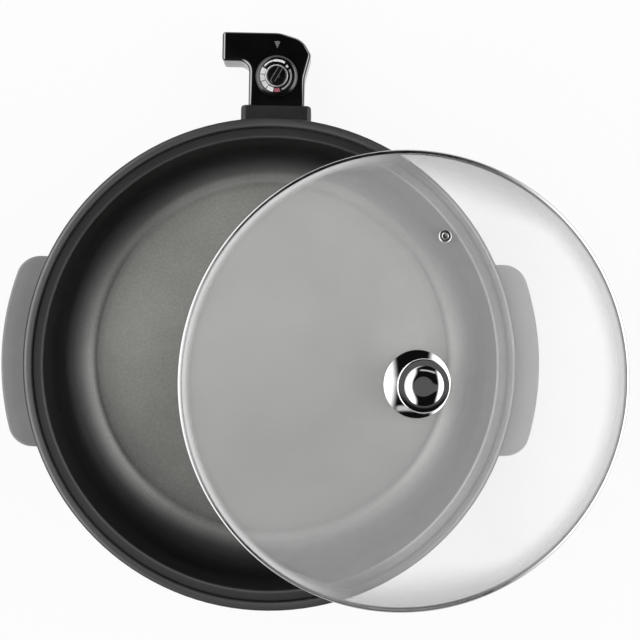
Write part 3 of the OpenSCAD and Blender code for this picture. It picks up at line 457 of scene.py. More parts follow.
class Paint:
    """Adds nodes to one node tree and joins them up."""

    def __init__(self, tree):
        self.tree = tree

    def feed(self, socket, value):
        """Links a socket to another, or sets its plain value."""
        if isinstance(value, bpy.types.NodeSocket):
            self.tree.links.new(value, socket)
        else:
            socket.default_value = value

    def node(self, kind, values=None, **settings):
        node = self.tree.nodes.new(kind)
        for name, value in settings.items():
            setattr(node, name, value)
        for name, value in (values or {}).items():
            self.feed(node.inputs[name], value)
        return node

    def place(self, frame_of=None):
        """Object coordinates in millimetres, or those of a piece's own frame."""
        coords = self.node("ShaderNodeTexCoord").outputs["Object"]
        grown = self.node("ShaderNodeVectorMath", {0: coords, "Scale": 1 / MM}, operation="SCALE").outputs[0]
        if frame_of is None:
            return grown
        back = frame_of.inverted()
        mapping = {"Vector": grown, "Location": back.to_translation(), "Rotation": back.to_euler()}
        return self.node("ShaderNodeMapping", mapping).outputs[0]

    def parts(self, vector):
        return self.node("ShaderNodeSeparateXYZ", {0: vector}).outputs

    def math(self, operation, first, second=0.0):
        return self.node("ShaderNodeMath", {0: first, 1: second}, operation=operation).outputs[0]

    def product(self, first, *others):
        for other in others:
            first = self.math("MULTIPLY", first, other)
        return first

    def vector(self, operation, first, second=(0, 0, 0)):
        return self.node("ShaderNodeVectorMath", {0: first, 1: second}, operation=operation).outputs

    def plan(self, vector):
        """The part of a vector that lies flat."""
        return self.vector("MULTIPLY", vector, (1, 1, 0))[0]

    def radius(self, vector):
        """Distance from the upright axis."""
        return self.vector("LENGTH", self.plan(vector))["Value"]

    def spread(self, value, low, high, to_low=0.0, to_high=1.0):
        """value between low and high, eased to the range to_low to to_high."""
        limits = {"Value": value, "From Min": low, "From Max": high, "To Min": to_low, "To Max": to_high}
        return self.node("ShaderNodeMapRange", limits, interpolation_type="SMOOTHSTEP").outputs[0]

    def gain(self, share, most):
        """1 where share is 0, and most where it is 1."""
        return self.spread(share, 0.0, 1.0, 1.0, most)

    def noise(self, vector, scale, detail=2.0):
        texture = {"Vector": vector, "Scale": scale, "Detail": detail}
        return self.node("ShaderNodeTexNoise", texture).outputs[0]

    def mix(self, share, first, second, blend="MIX"):
        """A colour between two others."""
        values = {0: share, 6: first, 7: second}
        return self.node("ShaderNodeMix", values, data_type="RGBA", blend_type=blend).outputs[2]

    def blend(self, share, first, second):
        """A number between two others."""
        return self.node("ShaderNodeMix", {0: share, 2: first, 3: second}, data_type="FLOAT").outputs[0]

    def ramp(self, value, low, high, stops):
        """Colours along value from low to high; each stop is a place on that scale and a colour."""
        share = self.node("ShaderNodeMapRange", {"Value": value, "From Min": low, "From Max": high})
        node = self.node("ShaderNodeValToRGB", {0: share.outputs[0]})
        elements = node.color_ramp.elements
        while len(elements) < len(stops):
            elements.new(0.5)
        for element, (at, colour) in zip(elements, stops):
            element.position = (at - low) / (high - low)
            element.color = colour
        return node.outputs[0]

    def bump(self, height, depth):
        """A normal from a height of 0 to 1 that stands for depth millimetres."""
        values = {"Height": height, "Distance": depth * MM, "Strength": 1.0}
        return self.node("ShaderNodeBump", values).outputs[0]

    def effect(self, group, **values):
        """The outputs of a shared effect."""
        named = {name.capitalize(): value for name, value in values.items()}
        return self.node("ShaderNodeGroup", named, node_tree=group).outputs


def fresh(owner):
    """Empties the nodes of a material or world, to be painted anew."""
    owner.use_nodes = True
    owner.node_tree.nodes.clear()
    return Paint(owner.node_tree)


def new_effect(name, inputs, outputs):
    """A shader group on a vector, with its other inputs and its outputs all numbers."""
    group = bpy.data.node_groups.new(name, "ShaderNodeTree")
    group.interface.new_socket("Vector", in_out="INPUT", socket_type="NodeSocketVector")
    for way, labels in (("INPUT", inputs), ("OUTPUT", outputs)):
        for label in labels:
            group.interface.new_socket(label, in_out=way, socket_type="NodeSocketFloat")
    paint = Paint(group)
    return group, paint, paint.node("NodeGroupInput").outputs, paint.node("NodeGroupOutput").inputs


DETAIL = 3.0
SMUDGE_DETAIL = 4.0
SMUDGE_SPAN = (0.3, 0.7)
PLASTIC_MARKS = 0.06
METAL_MARKS = 0.12
BROAD_GRAIN = 0.03
FLECKS_LEFT_OUT = 0.45


def make_grain():
    """Fine moulded grain: a tone around 1 and a height."""
    group, paint, given, out = new_effect("fine_grain", ["Scale", "Contrast"], ["Tone", "Height"])
    fine = paint.noise(given["Vector"], given["Scale"], DETAIL)
    broad = paint.noise(given["Vector"], paint.product(given["Scale"], BROAD_GRAIN))
    both = paint.math("SUBTRACT", paint.math("ADD", fine, broad), 1.0)
    paint.feed(out["Tone"], paint.math("ADD", paint.product(both, given["Contrast"]), 1.0))
    paint.feed(out["Height"], fine)
    return group


def make_speckle():
    """Scattered light flecks: a mask of 0 to 1."""
    group, paint, given, out = new_effect("speckle", ["Scale", "Size"], ["Mask"])
    cells = paint.node("ShaderNodeTexVoronoi", {"Vector": given["Vector"], "Scale": given["Scale"]})
    near = paint.math("LESS_THAN", cells.outputs["Distance"], given["Size"])
    chosen = paint.math("GREATER_THAN", paint.parts(cells.outputs["Color"])[0], FLECKS_LEFT_OUT)
    paint.feed(out["Mask"], paint.product(near, chosen))
    return group


def make_smudges():
    """Faint patches of handling: a roughness between low and high."""
    group, paint, given, out = new_effect("smudges", ["Scale", "Low", "High"], ["Roughness"])
    patches = paint.noise(given["Vector"], given["Scale"], SMUDGE_DETAIL)
    paint.feed(out["Roughness"], paint.spread(patches, *SMUDGE_SPAN, given["Low"], given["High"]))
    return group


def make_brushing():
    """Fine lines that run round an upright axis: a tone around 1 and a height."""
    group, paint, given, out = new_effect("brushing", ["Scale", "Contrast"], ["Tone", "Height"])
    height = paint.parts(given["Vector"])[2]
    across = paint.node("ShaderNodeCombineXYZ", {"X": paint.radius(given["Vector"]), "Y": height}).outputs[0]
    lines = paint.noise(across, given["Scale"], DETAIL)
    share = paint.product(paint.math("SUBTRACT", lines, 0.5), given["Contrast"])
    paint.feed(out["Tone"], paint.math("ADD", share, 1.0))
    paint.feed(out["Height"], lines)
    return group


GRAIN = make_grain()
SPECKLE = make_speckle()
SMUDGES = make_smudges()
BRUSHING = make_brushing()


def new_material(name, **constants):
    """A material with one principled shader and its plain values."""
    material = bpy.data.materials.new(name)
    paint = fresh(material)
    shader = paint.node("ShaderNodeBsdfPrincipled")
    for label, value in constants.items():
        shader.inputs[label.replace("_", " ")].default_value = value
    paint.node("ShaderNodeOutputMaterial", {"Surface": shader.outputs[0]})
    return material, paint, shader.inputs


def toned(paint, colour, tone):
    """A colour made lighter and darker by a tone around 1."""
    shade = paint.node("ShaderNodeCombineColor", {0: tone, 1: tone, 2: tone}).outputs[0]
    return paint.mix(1.0, colour, shade, "MULTIPLY")


def surface(name, texture, marks, finish, frame_of=None, **constants):
    """A finish with a fine texture in its tone and normal, and smudges in its gloss."""
    colour, low, high, scale, depth, contrast = finish
    material, paint, shader = new_material(name, **constants)
    place = paint.place(frame_of)
    fine = paint.effect(texture, vector=place, scale=scale, contrast=contrast)
    smudges = paint.effect(SMUDGES, vector=place, scale=marks, low=low, high=high)
    paint.feed(shader["Base Color"], toned(paint, colour, fine["Tone"]))
    paint.feed(shader["Roughness"], smudges["Roughness"])
    paint.feed(shader["Normal"], paint.bump(fine["Height"], depth))
    return material


def moulded(name, finish, **constants):
    """Moulded plastic, ceramic, rubber or print, with a fine grain."""
    return surface(name, GRAIN, PLASTIC_MARKS, finish, **constants)


def metal(name, finish, frame_of=None):
    """Bare or plated metal, brushed round its axis."""
    return surface(name, BRUSHING, METAL_MARKS, finish, frame_of, Metallic=1.0)


# Coating: its colour by distance from the middle of the painted rings, on all that faces up or inwards.
# Edge of the floor, where the painted shade line and the painted cove highlight begin, and how far those
# painted rings lean towards the control at the floor
PAINTED_FLOOR_R = FLOOR_R - 6.6
PAINTED_LEAN = 5
# A painted shade line round the edge of the floor
SHADE_LINE = [(PAINTED_FLOOR_R, grey(0.170)), (PAINTED_FLOOR_R + 1.2, grey(0.210))]
# Colours by radius: the floor's tone, partly its own and partly painted light, then the painted shade line,
# the painted cove highlight, painted shade down the wall, the painted highlight on the ledge's lip, painted
# shade in the groove and the bead's painted inner highlight
BOWL_COLOUR_AND_LIGHT = [
    (80, rgb(0.240, 0.243, 0.226)),
    (134, rgb(0.360, 0.363, 0.339)),
    (PAINTED_FLOOR_R - 7, rgb(0.345, 0.348, 0.325)),
    (PAINTED_FLOOR_R - 1.2, rgb(0.270, 0.272, 0.256)),
    *SHADE_LINE,
    (PAINTED_FLOOR_R + 4.5, rgb(0.560, 0.562, 0.536)),
    (PAINTED_FLOOR_R + 6.5, rgb(0.560, 0.562, 0.538)),
    (PAINTED_FLOOR_R + 10.5, rgb(0.390, 0.391, 0.376)),
    (PAINTED_FLOOR_R + 14.5, grey(0.216)),
    (PAINTED_FLOOR_R + 19.5, grey(0.080)),
    (PAINTED_FLOOR_R + 26, grey(0.010)),
    (WALL_FOOT_R, grey(0.004)),
    (LEDGE_IN - 0.5, grey(0.003)),
    (LEDGE_IN + 0.4, grey(0.070)),
    (LEDGE_IN + 2, grey(0.028)),
    (LEDGE_OUT - 1.2, grey(0.024)),
    (LEDGE_OUT, grey(0.008)),
    (LEDGE_OUT + 1.4, grey(0.090)),
]
TONE_SPAN = (BOWL_COLOUR_AND_LIGHT[0][0], PAN_R + 2)
WALL_TONE = grey(0.028)
# Painted highlight on the bead's outer half
BEAD_HIGHLIGHT = grey(0.220)
FLECK_TONE = grey(0.42)
FLECK_SHARE = 0.14
COATING_DEPTH = 0.04

# Limits on the coating, all but the last two on its painted light and shade: from and to, then the share at
# each where that isn't 0 and 1.
# A heading is -1 at the front and 1 at the control.
INWARD = (0.05, 0.2, 1.0, 0.0)
UPWARD = (-0.2, 0.0)
FRONT_LINE = (-0.85, -0.5, 1.0, 0.0)
REAR_LINE = (0.45, 0.9)
FRONT_FLOOR = (-130, 40, 0.5, 1.0)
REAR_FLOOR = (30, 150, 1.0, 0.80)
FRONT_COVE = (-1.0, -0.4, 0.40, 1.0)
REAR_COVE = (-0.15, 0.75, 1.0, 0.42)
UPPER_COVE = (0.3, 0.9, 1.0, 0.55)
FRONT_LEDGE = (-0.3, 0.6, 1.5, 1.0)
RIM_ENDS = (0.1, 1.0, 1.7, 0.65)
BEAD_ENDS = (0.4, 1.05, 1.0, 0.2)
BEAD_SIDE = (0.42, 0.78, 1.0, 0.08)
FLECKED = (150, 175, 1.0, 0.0)
GRAIN_CONTRAST = (150, 190, 0.45, 0.30)

# Where one part of the pan blends into the next, by radius or by height
COVE_START = (PAINTED_FLOOR_R - 1, PAINTED_FLOOR_R + 5)
UPPER_COVE_START = (PAINTED_FLOOR_R + 4, PAINTED_FLOOR_R + 11)
LEDGE_START = (LEDGE_IN - 11.5, LEDGE_IN - 1.5)
LEDGE_END = (LEDGE_OUT - 1.5, LEDGE_OUT)
RIM_START = (LEDGE_OUT + 1, LEDGE_OUT + 4)
BEAD_START = (RIM_Z - BEAD_D, RIM_Z - BEAD_D + 2)

# The side under the lid, and how much stronger each part's painted highlight is there
LID_SIDE = (0.3, 0.8)
LEDGE_LID_HIGHLIGHT = 5.0
RIM_LID_HIGHLIGHT = 1.2
BEAD_LID_HIGHLIGHT = 1.6


def bowl_tones(paint, painted_radius, heading):
    """The colours inside the bowl, with their painted shade and highlights. The painted shade line round the
    floor fades at the front and rear.
    """
    lined = paint.ramp(painted_radius, *TONE_SPAN, BOWL_COLOUR_AND_LIGHT)
    unlined = paint.ramp(painted_radius, *TONE_SPAN, [stop for stop in BOWL_COLOUR_AND_LIGHT if stop not in SHADE_LINE])
    faded = paint.math("ADD", paint.spread(heading, *REAR_LINE), paint.spread(heading, *FRONT_LINE))
    return paint.mix(faded, lined, unlined)


def bowl_painted_light(paint, along, radius, painted_radius, heading, lid_side_lit):
    """How strongly those tones show from the floor up the cove and wall to the ledge and the rim: painted
    light that changes round the pan and is stronger under the lid.
    """
    floor = paint.product(paint.spread(along, *FRONT_FLOOR), paint.spread(along, *REAR_FLOOR))
    cove = paint.product(paint.spread(heading, *REAR_COVE), paint.spread(heading, *FRONT_COVE))
    painted_light = paint.blend(paint.spread(painted_radius, *COVE_START), floor, cove)
    upper = paint.product(painted_light, paint.spread(heading, *UPPER_COVE))
    painted_light = paint.blend(paint.spread(painted_radius, *UPPER_COVE_START), painted_light, upper)
    ledge = paint.product(paint.gain(lid_side_lit, LEDGE_LID_HIGHLIGHT), paint.spread(heading, *FRONT_LEDGE))
    painted_light = paint.blend(paint.spread(radius, *LEDGE_START), painted_light, ledge)
    painted_light = paint.blend(paint.spread(radius, *LEDGE_END), painted_light, 1.0)
    ends = paint.math("ABSOLUTE", heading)
    rim = paint.product(paint.spread(ends, *RIM_ENDS), paint.gain(lid_side_lit, RIM_LID_HIGHLIGHT))
    return paint.blend(paint.spread(radius, *RIM_START), painted_light, rim)


def painted_bead_highlight(paint, facing, heading, lid_side_lit):
    """The rolled bead's painted highlight, fading on its steep outer side and at the front and rear, and
    stronger under the lid.
    """
    ends = paint.spread(paint.math("ABSOLUTE", heading), *BEAD_ENDS)
    painted_light = paint.product(ends, paint.spread(facing, *BEAD_SIDE), paint.gain(lid_side_lit, BEAD_LID_HIGHLIGHT))
    return toned(paint, BEAD_HIGHLIGHT, painted_light)


def nonstick_coating():
    """Dark non-stick coating, lighter and speckled on the cooking floor, with painted light and shade from
    the floor up the cove and wall to the rim.
    """
    material, paint, shader = new_material("nonstick_coating", Specular_IOR_Level=0.25)
    place = paint.place()
    across, along, height = paint.parts(place)
    radius = paint.radius(place)
    heading = paint.math("DIVIDE", along, radius)
    # 1 on the side under the lid, where the painted highlights are stronger
    lid_side_lit = paint.spread(paint.math("DIVIDE", across, radius), *LID_SIDE)
    normal = paint.node("ShaderNodeTexCoord").outputs["Normal"]
    outward = paint.vector("NORMALIZE", paint.plan(place))[0]
    facing = paint.vector("DOT_PRODUCT", outward, normal)["Value"]
    inside = paint.product(paint.spread(facing, *INWARD), paint.spread(paint.parts(normal)[2], *UPWARD))
    # The painted rings lean off the axis towards the control, most at the floor
    lean = paint.spread(height, FLOOR_Z, LEDGE_Z, PAINTED_LEAN, 0.0)
    painted_place = paint.node("ShaderNodeCombineXYZ", {"X": across, "Y": paint.math("SUBTRACT", along, lean)})
    painted_radius = paint.radius(painted_place.outputs[0])
    # Painted light and shade in the bowl, and a painted highlight on the bead
    painted_light = bowl_painted_light(paint, along, radius, painted_radius, heading, lid_side_lit)
    bowl = toned(paint, bowl_tones(paint, painted_radius, heading), painted_light)
    bead = painted_bead_highlight(paint, facing, heading, lid_side_lit)
    outside = paint.mix(paint.spread(height, *BEAD_START), WALL_TONE, bead)
    contrast = paint.spread(radius, *GRAIN_CONTRAST)
    grain = paint.effect(GRAIN, vector=place, scale=0.55, contrast=contrast)
    plain = toned(paint, paint.mix(inside, outside, bowl), grain["Tone"])
    flecks = paint.effect(SPECKLE, vector=place, scale=0.42, size=0.3)
    flecked = paint.product(flecks["Mask"], paint.spread(radius, *FLECKED), FLECK_SHARE)
    paint.feed(shader["Base Color"], paint.mix(flecked, plain, FLECK_TONE))
    smudges = paint.effect(SMUDGES, vector=place, scale=0.02, low=0.36, high=0.48)
    paint.feed(shader["Roughness"], smudges["Roughness"])
    paint.feed(shader["Normal"], paint.bump(grain["Height"], COATING_DEPTH))
    return material


# Lid glass: its tints, and the share of the light that passes it where it would throw a shadow
GLASS_TINTS = (rgb(0.958, 0.962, 0.959), rgb(0.976, 0.979, 0.977))
GLASS_SMEAR = 0.02
LIGHT_THROUGH = 0.85

# Painted light on the glass edge, a pale glow on the high side and grey shade on the low side and ends:
# where the lid's low side and its ends begin, then tones and strength on high side, low side and ends
RIM_LIGHT_LOW_SIDE = (-0.6, 0.25)
RIM_LIGHT_ENDS = (0.78, 1.0)
RIM_LIGHT_SMEAR = 0.05
RIM_LIGHT_TONES = ((grey(0.88), grey(0.95)), (grey(0.46), grey(0.52)), (grey(0.15), grey(0.18)))
RIM_LIGHT_STRENGTHS = (0.85, 0.6, 0.43)

# Rounded edges of the control, by how far they face sideways and up
EDGE_START = (0.10, 0.20)
EDGE_END = (0.45, 0.60, 1.0, 0.0)
EDGE_UP = (0.6, 0.75)


def lid_glass_material():
    """Clear tempered glass with a faint haze."""
    material, paint, shader = new_material(
        "lid_glass", Roughness=0.02, IOR=1.32, Metallic=0.0, Transmission_Weight=0.84
    )
    smear = paint.noise(paint.place(LID_POSE), GLASS_SMEAR, DETAIL)
    paint.feed(shader["Base Color"], paint.mix(smear, *GLASS_TINTS))
    light = paint.node("ShaderNodeLightPath").outputs
    passing = paint.math("MAXIMUM", light["Is Shadow Ray"], light["Is Diffuse Ray"])
    paint.feed(shader["Alpha"], paint.math("SUBTRACT", 1.0, paint.product(passing, LIGHT_THROUGH)))
    return material


def rim_light_material():
    """Painted light along the glass edge: a narrow pale glow on the lid's high side, wider grey shade on its
    low side and the widest, darkest shade at its ends.
    """
    material, paint, shader = new_material("rim_light_and_shade", Roughness=0.35, Metallic=0.0)
    place = paint.place(LID_POSE)
    radius = paint.radius(place)
    across, along, _ = paint.parts(place)
    low_side = paint.spread(paint.math("DIVIDE", across, radius), *RIM_LIGHT_LOW_SIDE)
    ends = paint.spread(paint.math("DIVIDE", paint.math("ABSOLUTE", along), radius), *RIM_LIGHT_ENDS)
    low_ends = paint.product(low_side, ends)
    width = paint.spread(low_side, 0.0, 1.0, RIM_LIGHT_HIGH_W, RIM_LIGHT_LOW_W)
    width = paint.math("ADD", width, paint.product(low_ends, RIM_LIGHT_W - RIM_LIGHT_LOW_W))
    share = paint.spread(radius, paint.math("SUBTRACT", GLASS_EDGE_R, width), GLASS_EDGE_R - RIM_LIGHT_FADE)
    smear = paint.noise(place, RIM_LIGHT_SMEAR, DETAIL)
    high, low, end = [paint.mix(smear, *tones) for tones in RIM_LIGHT_TONES]
    paint.feed(shader["Base Color"], paint.mix(low_ends, paint.mix(low_side, high, low), end))
    at_high, at_low, at_ends = RIM_LIGHT_STRENGTHS
    strength = paint.blend(low_ends, paint.spread(low_side, 0.0, 1.0, at_high, at_low), at_ends)
    outer = paint.math("SUBTRACT", 1.0, paint.node("ShaderNodeNewGeometry").outputs["Backfacing"])
    paint.feed(shader["Alpha"], paint.product(share, strength, outer))
    return material


def lamp_glass_material():
    """Smoky moulded window and lamp glass."""
    material, paint, shader = new_material("lamp_glass", IOR=1.5, Metallic=0.0, Transmission_Weight=0.25)
    place = paint.place()
    grain = paint.effect(GRAIN, vector=place, scale=1.5, contrast=0.3)
    smudges = paint.effect(SMUDGES, vector=place, scale=0.3, low=0.2, high=0.35)
    paint.feed(shader["Base Color"], toned(paint, grey(0.20), grain["Tone"]))
    paint.feed(shader["Roughness"], smudges["Roughness"])
    return material


def control_plastic_material():
    """Glossy black plastic, polished brightest along its rounded side edges."""
    material = moulded("control_plastic", CONTROL_PLASTIC, IOR=1.6, Coat_IOR=2.6, Coat_Roughness=0.1)
    paint = Paint(material.node_tree)
    normal = paint.parts(paint.node("ShaderNodeTexCoord").outputs["Normal"])
    across = paint.math("ABSOLUTE", normal[0])
    edge = paint.product(
        paint.spread(across, *EDGE_START), paint.spread(across, *EDGE_END), paint.spread(normal[2], *EDGE_UP)
    )
    paint.feed(material.node_tree.nodes["Principled BSDF"].inputs["Coat Weight"], edge)
    return material


# Finishes: colour, least and most roughness, grain or brushing per millimetre, its depth and its contrast
PLASTICS = {
    "ceramic_white": (rgb(0.74, 0.70, 0.62), 0.55, 0.7, 2.0, 0.02, 0.25),
    "black_phenolic": (grey(0.013), 0.38, 0.5, 1.6, 0.01, 0.4),
    "grip_plastic": (rgb(0.264, 0.264, 0.263), 0.62, 0.72, 1.8, 0.012, 0.18),
    "soft_black": (grey(0.02), 0.55, 0.7, 1.2, 0.02, 0.3),
    "white_print": (rgb(0.86, 0.86, 0.85), 0.4, 0.5, 3.0, 0.002, 0.1),
    "grey_print": (rgb(0.36, 0.36, 0.35), 0.4, 0.5, 3.0, 0.002, 0.15),
    "red_print": (rgb(0.42, 0.12, 0.16), 0.4, 0.5, 3.0, 0.002, 0.2),
}
CONTROL_PLASTIC = (grey(0.003), 0.10, 0.16, 2.5, 0.002, 0.5)
DIAL_PLASTIC = (grey(0.004), 0.14, 0.22, 2.5, 0.003, 0.5)
METALS = {
    "sheath_steel": (rgb(0.30, 0.28, 0.26), 0.30, 0.45, 0.9, 0.01, 0.5),
    "plated_steel": (rgb(0.60, 0.60, 0.59), 0.25, 0.38, 1.5, 0.01, 0.2),
    "contact_brass": (rgb(0.62, 0.43, 0.17), 0.22, 0.35, 1.5, 0.01, 0.2),
    "satin_ring": (rgb(0.80, 0.80, 0.79), 0.42, 0.52, 1.5, 0.004, 0.1),
}
LID_METALS = {
    "polished_steel": (rgb(0.86, 0.865, 0.87), 0.025, 0.06, 0.6, 0.0004, 0.04),
    "band_steel": (rgb(0.55, 0.55, 0.545), 0.16, 0.24, 1.5, 0.003, 0.15),
    "vent_steel": (rgb(0.88, 0.88, 0.87), 0.15, 0.22, 1.5, 0.003, 0.15),
}


def make_finishes():
    """A material for each slot of the record, and for the prints, the dial's ring, the vent and the painted
    glow and shade on the glass edge.
    """
    finishes = {name: moulded(name, finish) for name, finish in PLASTICS.items()}
    finishes |= {name: metal(name, finish) for name, finish in METALS.items()}
    finishes |= {name: metal(name, finish, LID_POSE) for name, finish in LID_METALS.items()}
    return finishes | {
        "nonstick_coating": nonstick_coating(),
        "control_plastic": control_plastic_material(),
        "dial_plastic": moulded("dial_plastic", DIAL_PLASTIC, IOR=1.75),
        "lamp_glass": lamp_glass_material(),
        "lid_glass": lid_glass_material(),
        "rim_light_and_shade": rim_light_material(),
    }


FINISH = make_finishes()


def paint_cad_nodes():
    """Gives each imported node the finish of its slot."""
    for part in frame["record"]["subparts"]:
        for slot in frame["nodes"][part["node"]].material_slots:
            slot.material = FINISH[part["material_slot"]]


# Pan pieces


def draw_grip_outline(bm):
    """The grip in plan: two arcs about the pan's axis, with rounded outer corners."""
    corner_y = GRIP_HALF - GRIP_CORNER_R
    corner_x = sqrt((GRIP_OUT - GRIP_CORNER_R) ** 2 - corner_y ** 2)
    corner_a = atan2(corner_y, corner_x)
    corner_sweep = 90 - degrees(corner_a)
    end_a = asin(GRIP_HALF / GRIP_IN)
    start = (GRIP_OUT * cos(corner_a), -GRIP_OUT * sin(corner_a))
    close(bm, *draw(bm, start, [
        (0, 0, 2 * degrees(corner_a), GRIP_OUT_STEPS),
        (corner_x, corner_y, corner_sweep),
        (GRIP_IN * cos(end_a), GRIP_HALF),
        (0, 0, -2 * degrees(end_a), GRIP_IN_STEPS),
        (corner_x, -GRIP_HALF),
        (corner_x, -corner_y, corner_sweep),
    ], PLAN))
    bmesh.ops.translate(bm, vec=(0, 0, GRIP_Z), verts=bm.verts)
    bmesh.ops.edgeloop_fill(bm, edges=bm.edges[:])


def core_grip(bm):
    """The hollow in the grip's underside."""
    half = GRIP_CORE_HALF
    core_in = GRIP_IN + GRIP_CORE_WALL
    core_out = GRIP_OUT - GRIP_CORE_WALL
    near = sqrt(core_in ** 2 - half ** 2)
    far = sqrt(core_out ** 2 - half ** 2)
    under = flat_face(bm, GRIP_Z)
    corners = [(near, -half), (far, -half), (core_out, 0), (far, half), (near, half), (core_in, 0)]
    core = loop(bm, corners, Matrix.Translation((0, 0, GRIP_Z)))
    open_face(bm, under, [core])
    pocket(bm, core, (0, 0, GRIP_CORE_DEPTH))
    tidy(bm)


def make_grip(name, turn):
    """A side grip with rounded edges and a cored underside."""
    bm = bmesh.new()
    draw_grip_outline(bm)
    raised(bm, bm.faces[:], GRIP_T)
    bevel(bm, edges_at(bm, GRIP_TOP), GRIP_EDGE, "EDGES", EDGE_STEPS)
    bevel(bm, edges_at(bm, GRIP_Z), GRIP_EDGE / 2, "EDGES", EDGE_STEPS // 2)
    core_grip(bm)
    evened(new_piece(name + "_moulding", bm, "pan", "grip_plastic", [name], Matrix.Rotation(turn, 4, "Z")))


def make_foot(name, turn):
    """A tapered foot with a recess for its screw."""
    bm = turned(SMALL_STEPS, (FOOT_HOLE_R, FOOT_H), [
        (FOOT_HOLE_R, FOOT_RECESS_H),
        (FOOT_RECESS_R, FOOT_RECESS_H),
        (FOOT_RECESS_R, FOOT_RECESS_EDGE),
        (FOOT_RECESS_R + FOOT_RECESS_EDGE, FOOT_RECESS_EDGE, 90),
        (FOOT_BASE_R - FOOT_BASE_EDGE, 0),
        (FOOT_BASE_R - FOOT_BASE_EDGE, FOOT_BASE_EDGE, FOOT_BASE_SWEEP),
        (FOOT_TOP_R - FOOT_TOP_EDGE, FOOT_H - FOOT_TOP_EDGE),
        (FOOT_TOP_R - 2 * FOOT_TOP_EDGE, FOOT_H),
    ])
    place = Matrix.Rotation(turn, 4, "Z") @ Matrix.Translation((FOOT_CIRCLE_R, 0, 0))
    new_piece(name + "_moulding", bm, "pan", "black_phenolic", [name], place)


def make_guard():
    """The socket guard: a box open to the back, with holes for the pins and the probe."""
    bm = bmesh.new()
    low, high = GUARD_Z
    back, mouth = GUARD_Y
    corners = [(*corner, GUARD_CORNER_R) for corner in oblong(GUARD_HALF, low, high)]
    raised(bm, [rounded_face(bm, corners, -mouth)], mouth - back)
    bevel(bm, edges_at(bm, -mouth), GUARD_BEVEL, "EDGES", GUARD_BEVEL_STEPS)
    floor = -back - GUARD_WALL
    inside = oblong(GUARD_HALF - GUARD_WALL, low + GUARD_WALL, high - GUARD_WALL)
    well = loop(bm, inside, Matrix.Translation((0, 0, -mouth)))
    open_face(bm, flat_face(bm, -mouth), [well])
    pocket(bm, well, (0, 0, floor + mouth))
    places = [(x, TUBE_Z) for x in (-TUBE_X, 0, TUBE_X)]
    front = [ring(bm, GUARD_HOLE_R, Matrix.Translation((*at, floor))) for at in places]
    rear = [ring(bm, GUARD_HOLE_R, Matrix.Translation((*at, -back))) for at in places]
    open_face(bm, flat_face(bm, floor), front)
    open_face(bm, flat_face(bm, -back), rear)
    for near, far in zip(front, rear):
        bmesh.ops.bridge_loops(bm, edges=near + far)
    tidy(bm)
    place = Matrix.Rotation(pi / 2, 4, "X")
    evened(new_piece("guard_moulding", bm, "pan", "black_phenolic", ["socket_guard"], place))


# Control pieces


def control_shell(low, high, outer):
    """One half of the control's housing, rounded at its outer face and eased at the parting."""
    bm = bmesh.new()
    raised(bm, [rounded_face(bm, CONTROL_CORNERS, low)], high - low)
    bevel(bm, edges_at(bm, outer), CONTROL_EDGE, "EDGES", EDGE_STEPS)
    bevel(bm, edges_at(bm, PARTING_Z), PARTING_EDGE, "EDGES", 1)
    return bm


def make_control_cover():
    """The upper shell, with the dial's seat and the window in its top."""
    bm = control_shell(PARTING_Z, CONTROL_TOP, CONTROL_TOP)
    seat = ring(bm, SEAT_R, Matrix.Translation((0, DIAL_Y, CONTROL_TOP)), SMALL_DIAL_STEPS)
    half = LENS_SIDE / 2 + LENS_ROOM
    window = loop(bm, [
        (0, -LENS_H / 2 - 3 * LENS_ROOM),
        (half, LENS_H / 2 + LENS_ROOM),
        (-half, LENS_H / 2 + LENS_ROOM),
    ], Matrix.Translation((0, LENS_Y, CONTROL_TOP)))
    open_face(bm, flat_face(bm, CONTROL_TOP), [seat, window])
    pocket(bm, seat, (0, 0, -SEAT_DEPTH))
    pocket(bm, window, (0, 0, -LENS_DEPTH))
    tidy(bm)
    evened(new_piece("control_cover_moulding", bm, "control", "control_plastic", ["control_cover"]))


def make_control_base():
    """The lower shell, with holes for the pins and the probe in its front."""
    bm = control_shell(CONTROL_Z, PARTING_Z, CONTROL_Z)
    upright = Matrix.Rotation(pi / 2, 4, "X")
    holes = [
        ring(bm, radius, Matrix.Translation((x, NECK_Y, TUBE_Z)) @ upright)
        for x, radius in ((-TUBE_X, PIN_HOLE_R), (TUBE_X, PIN_HOLE_R), (0, PROBE_HOLE_R))
    ]
    open_face(bm, flat_face(bm, NECK_Y, 1), holes)
    for edges in holes:
        pocket(bm, edges, (0, PIN_HOLE_DEPTH, 0))
    tidy(bm)
    evened(new_piece("control_base_moulding", bm, "control", "control_plastic", ["control_base"]))


# Dial pieces

AT_DIAL = Matrix.Translation((0, DIAL_Y, 0))


def make_dial_skirt():
    """The dial's disc with its bevelled edge."""
    bevel_r = DIAL_R - DIAL_BEVEL
    bm = turned(DIAL_STEPS, (DIAL_HOLE_R, DIAL_Z), [
        (DIAL_R - DIAL_EDGE, DIAL_Z),
        (DIAL_R, DIAL_Z + DIAL_EDGE),
        (DIAL_R, DIAL_Z + DIAL_SIDE_H),
        (DIAL_R - DIAL_SIDE_R, DIAL_Z + DIAL_SIDE_H, DIAL_SIDE_SWEEP),
        (bevel_r + DIAL_EASE_OUT, DIAL_FACE_Z - DIAL_EASE_DROP),
        (bevel_r - DIAL_EASE_IN, DIAL_FACE_Z),
        (DIAL_HOLE_R, DIAL_FACE_Z),
    ])
    new_piece("dial_disc", bm, "dial", "dial_plastic", ["dial_skirt"], AT_DIAL)


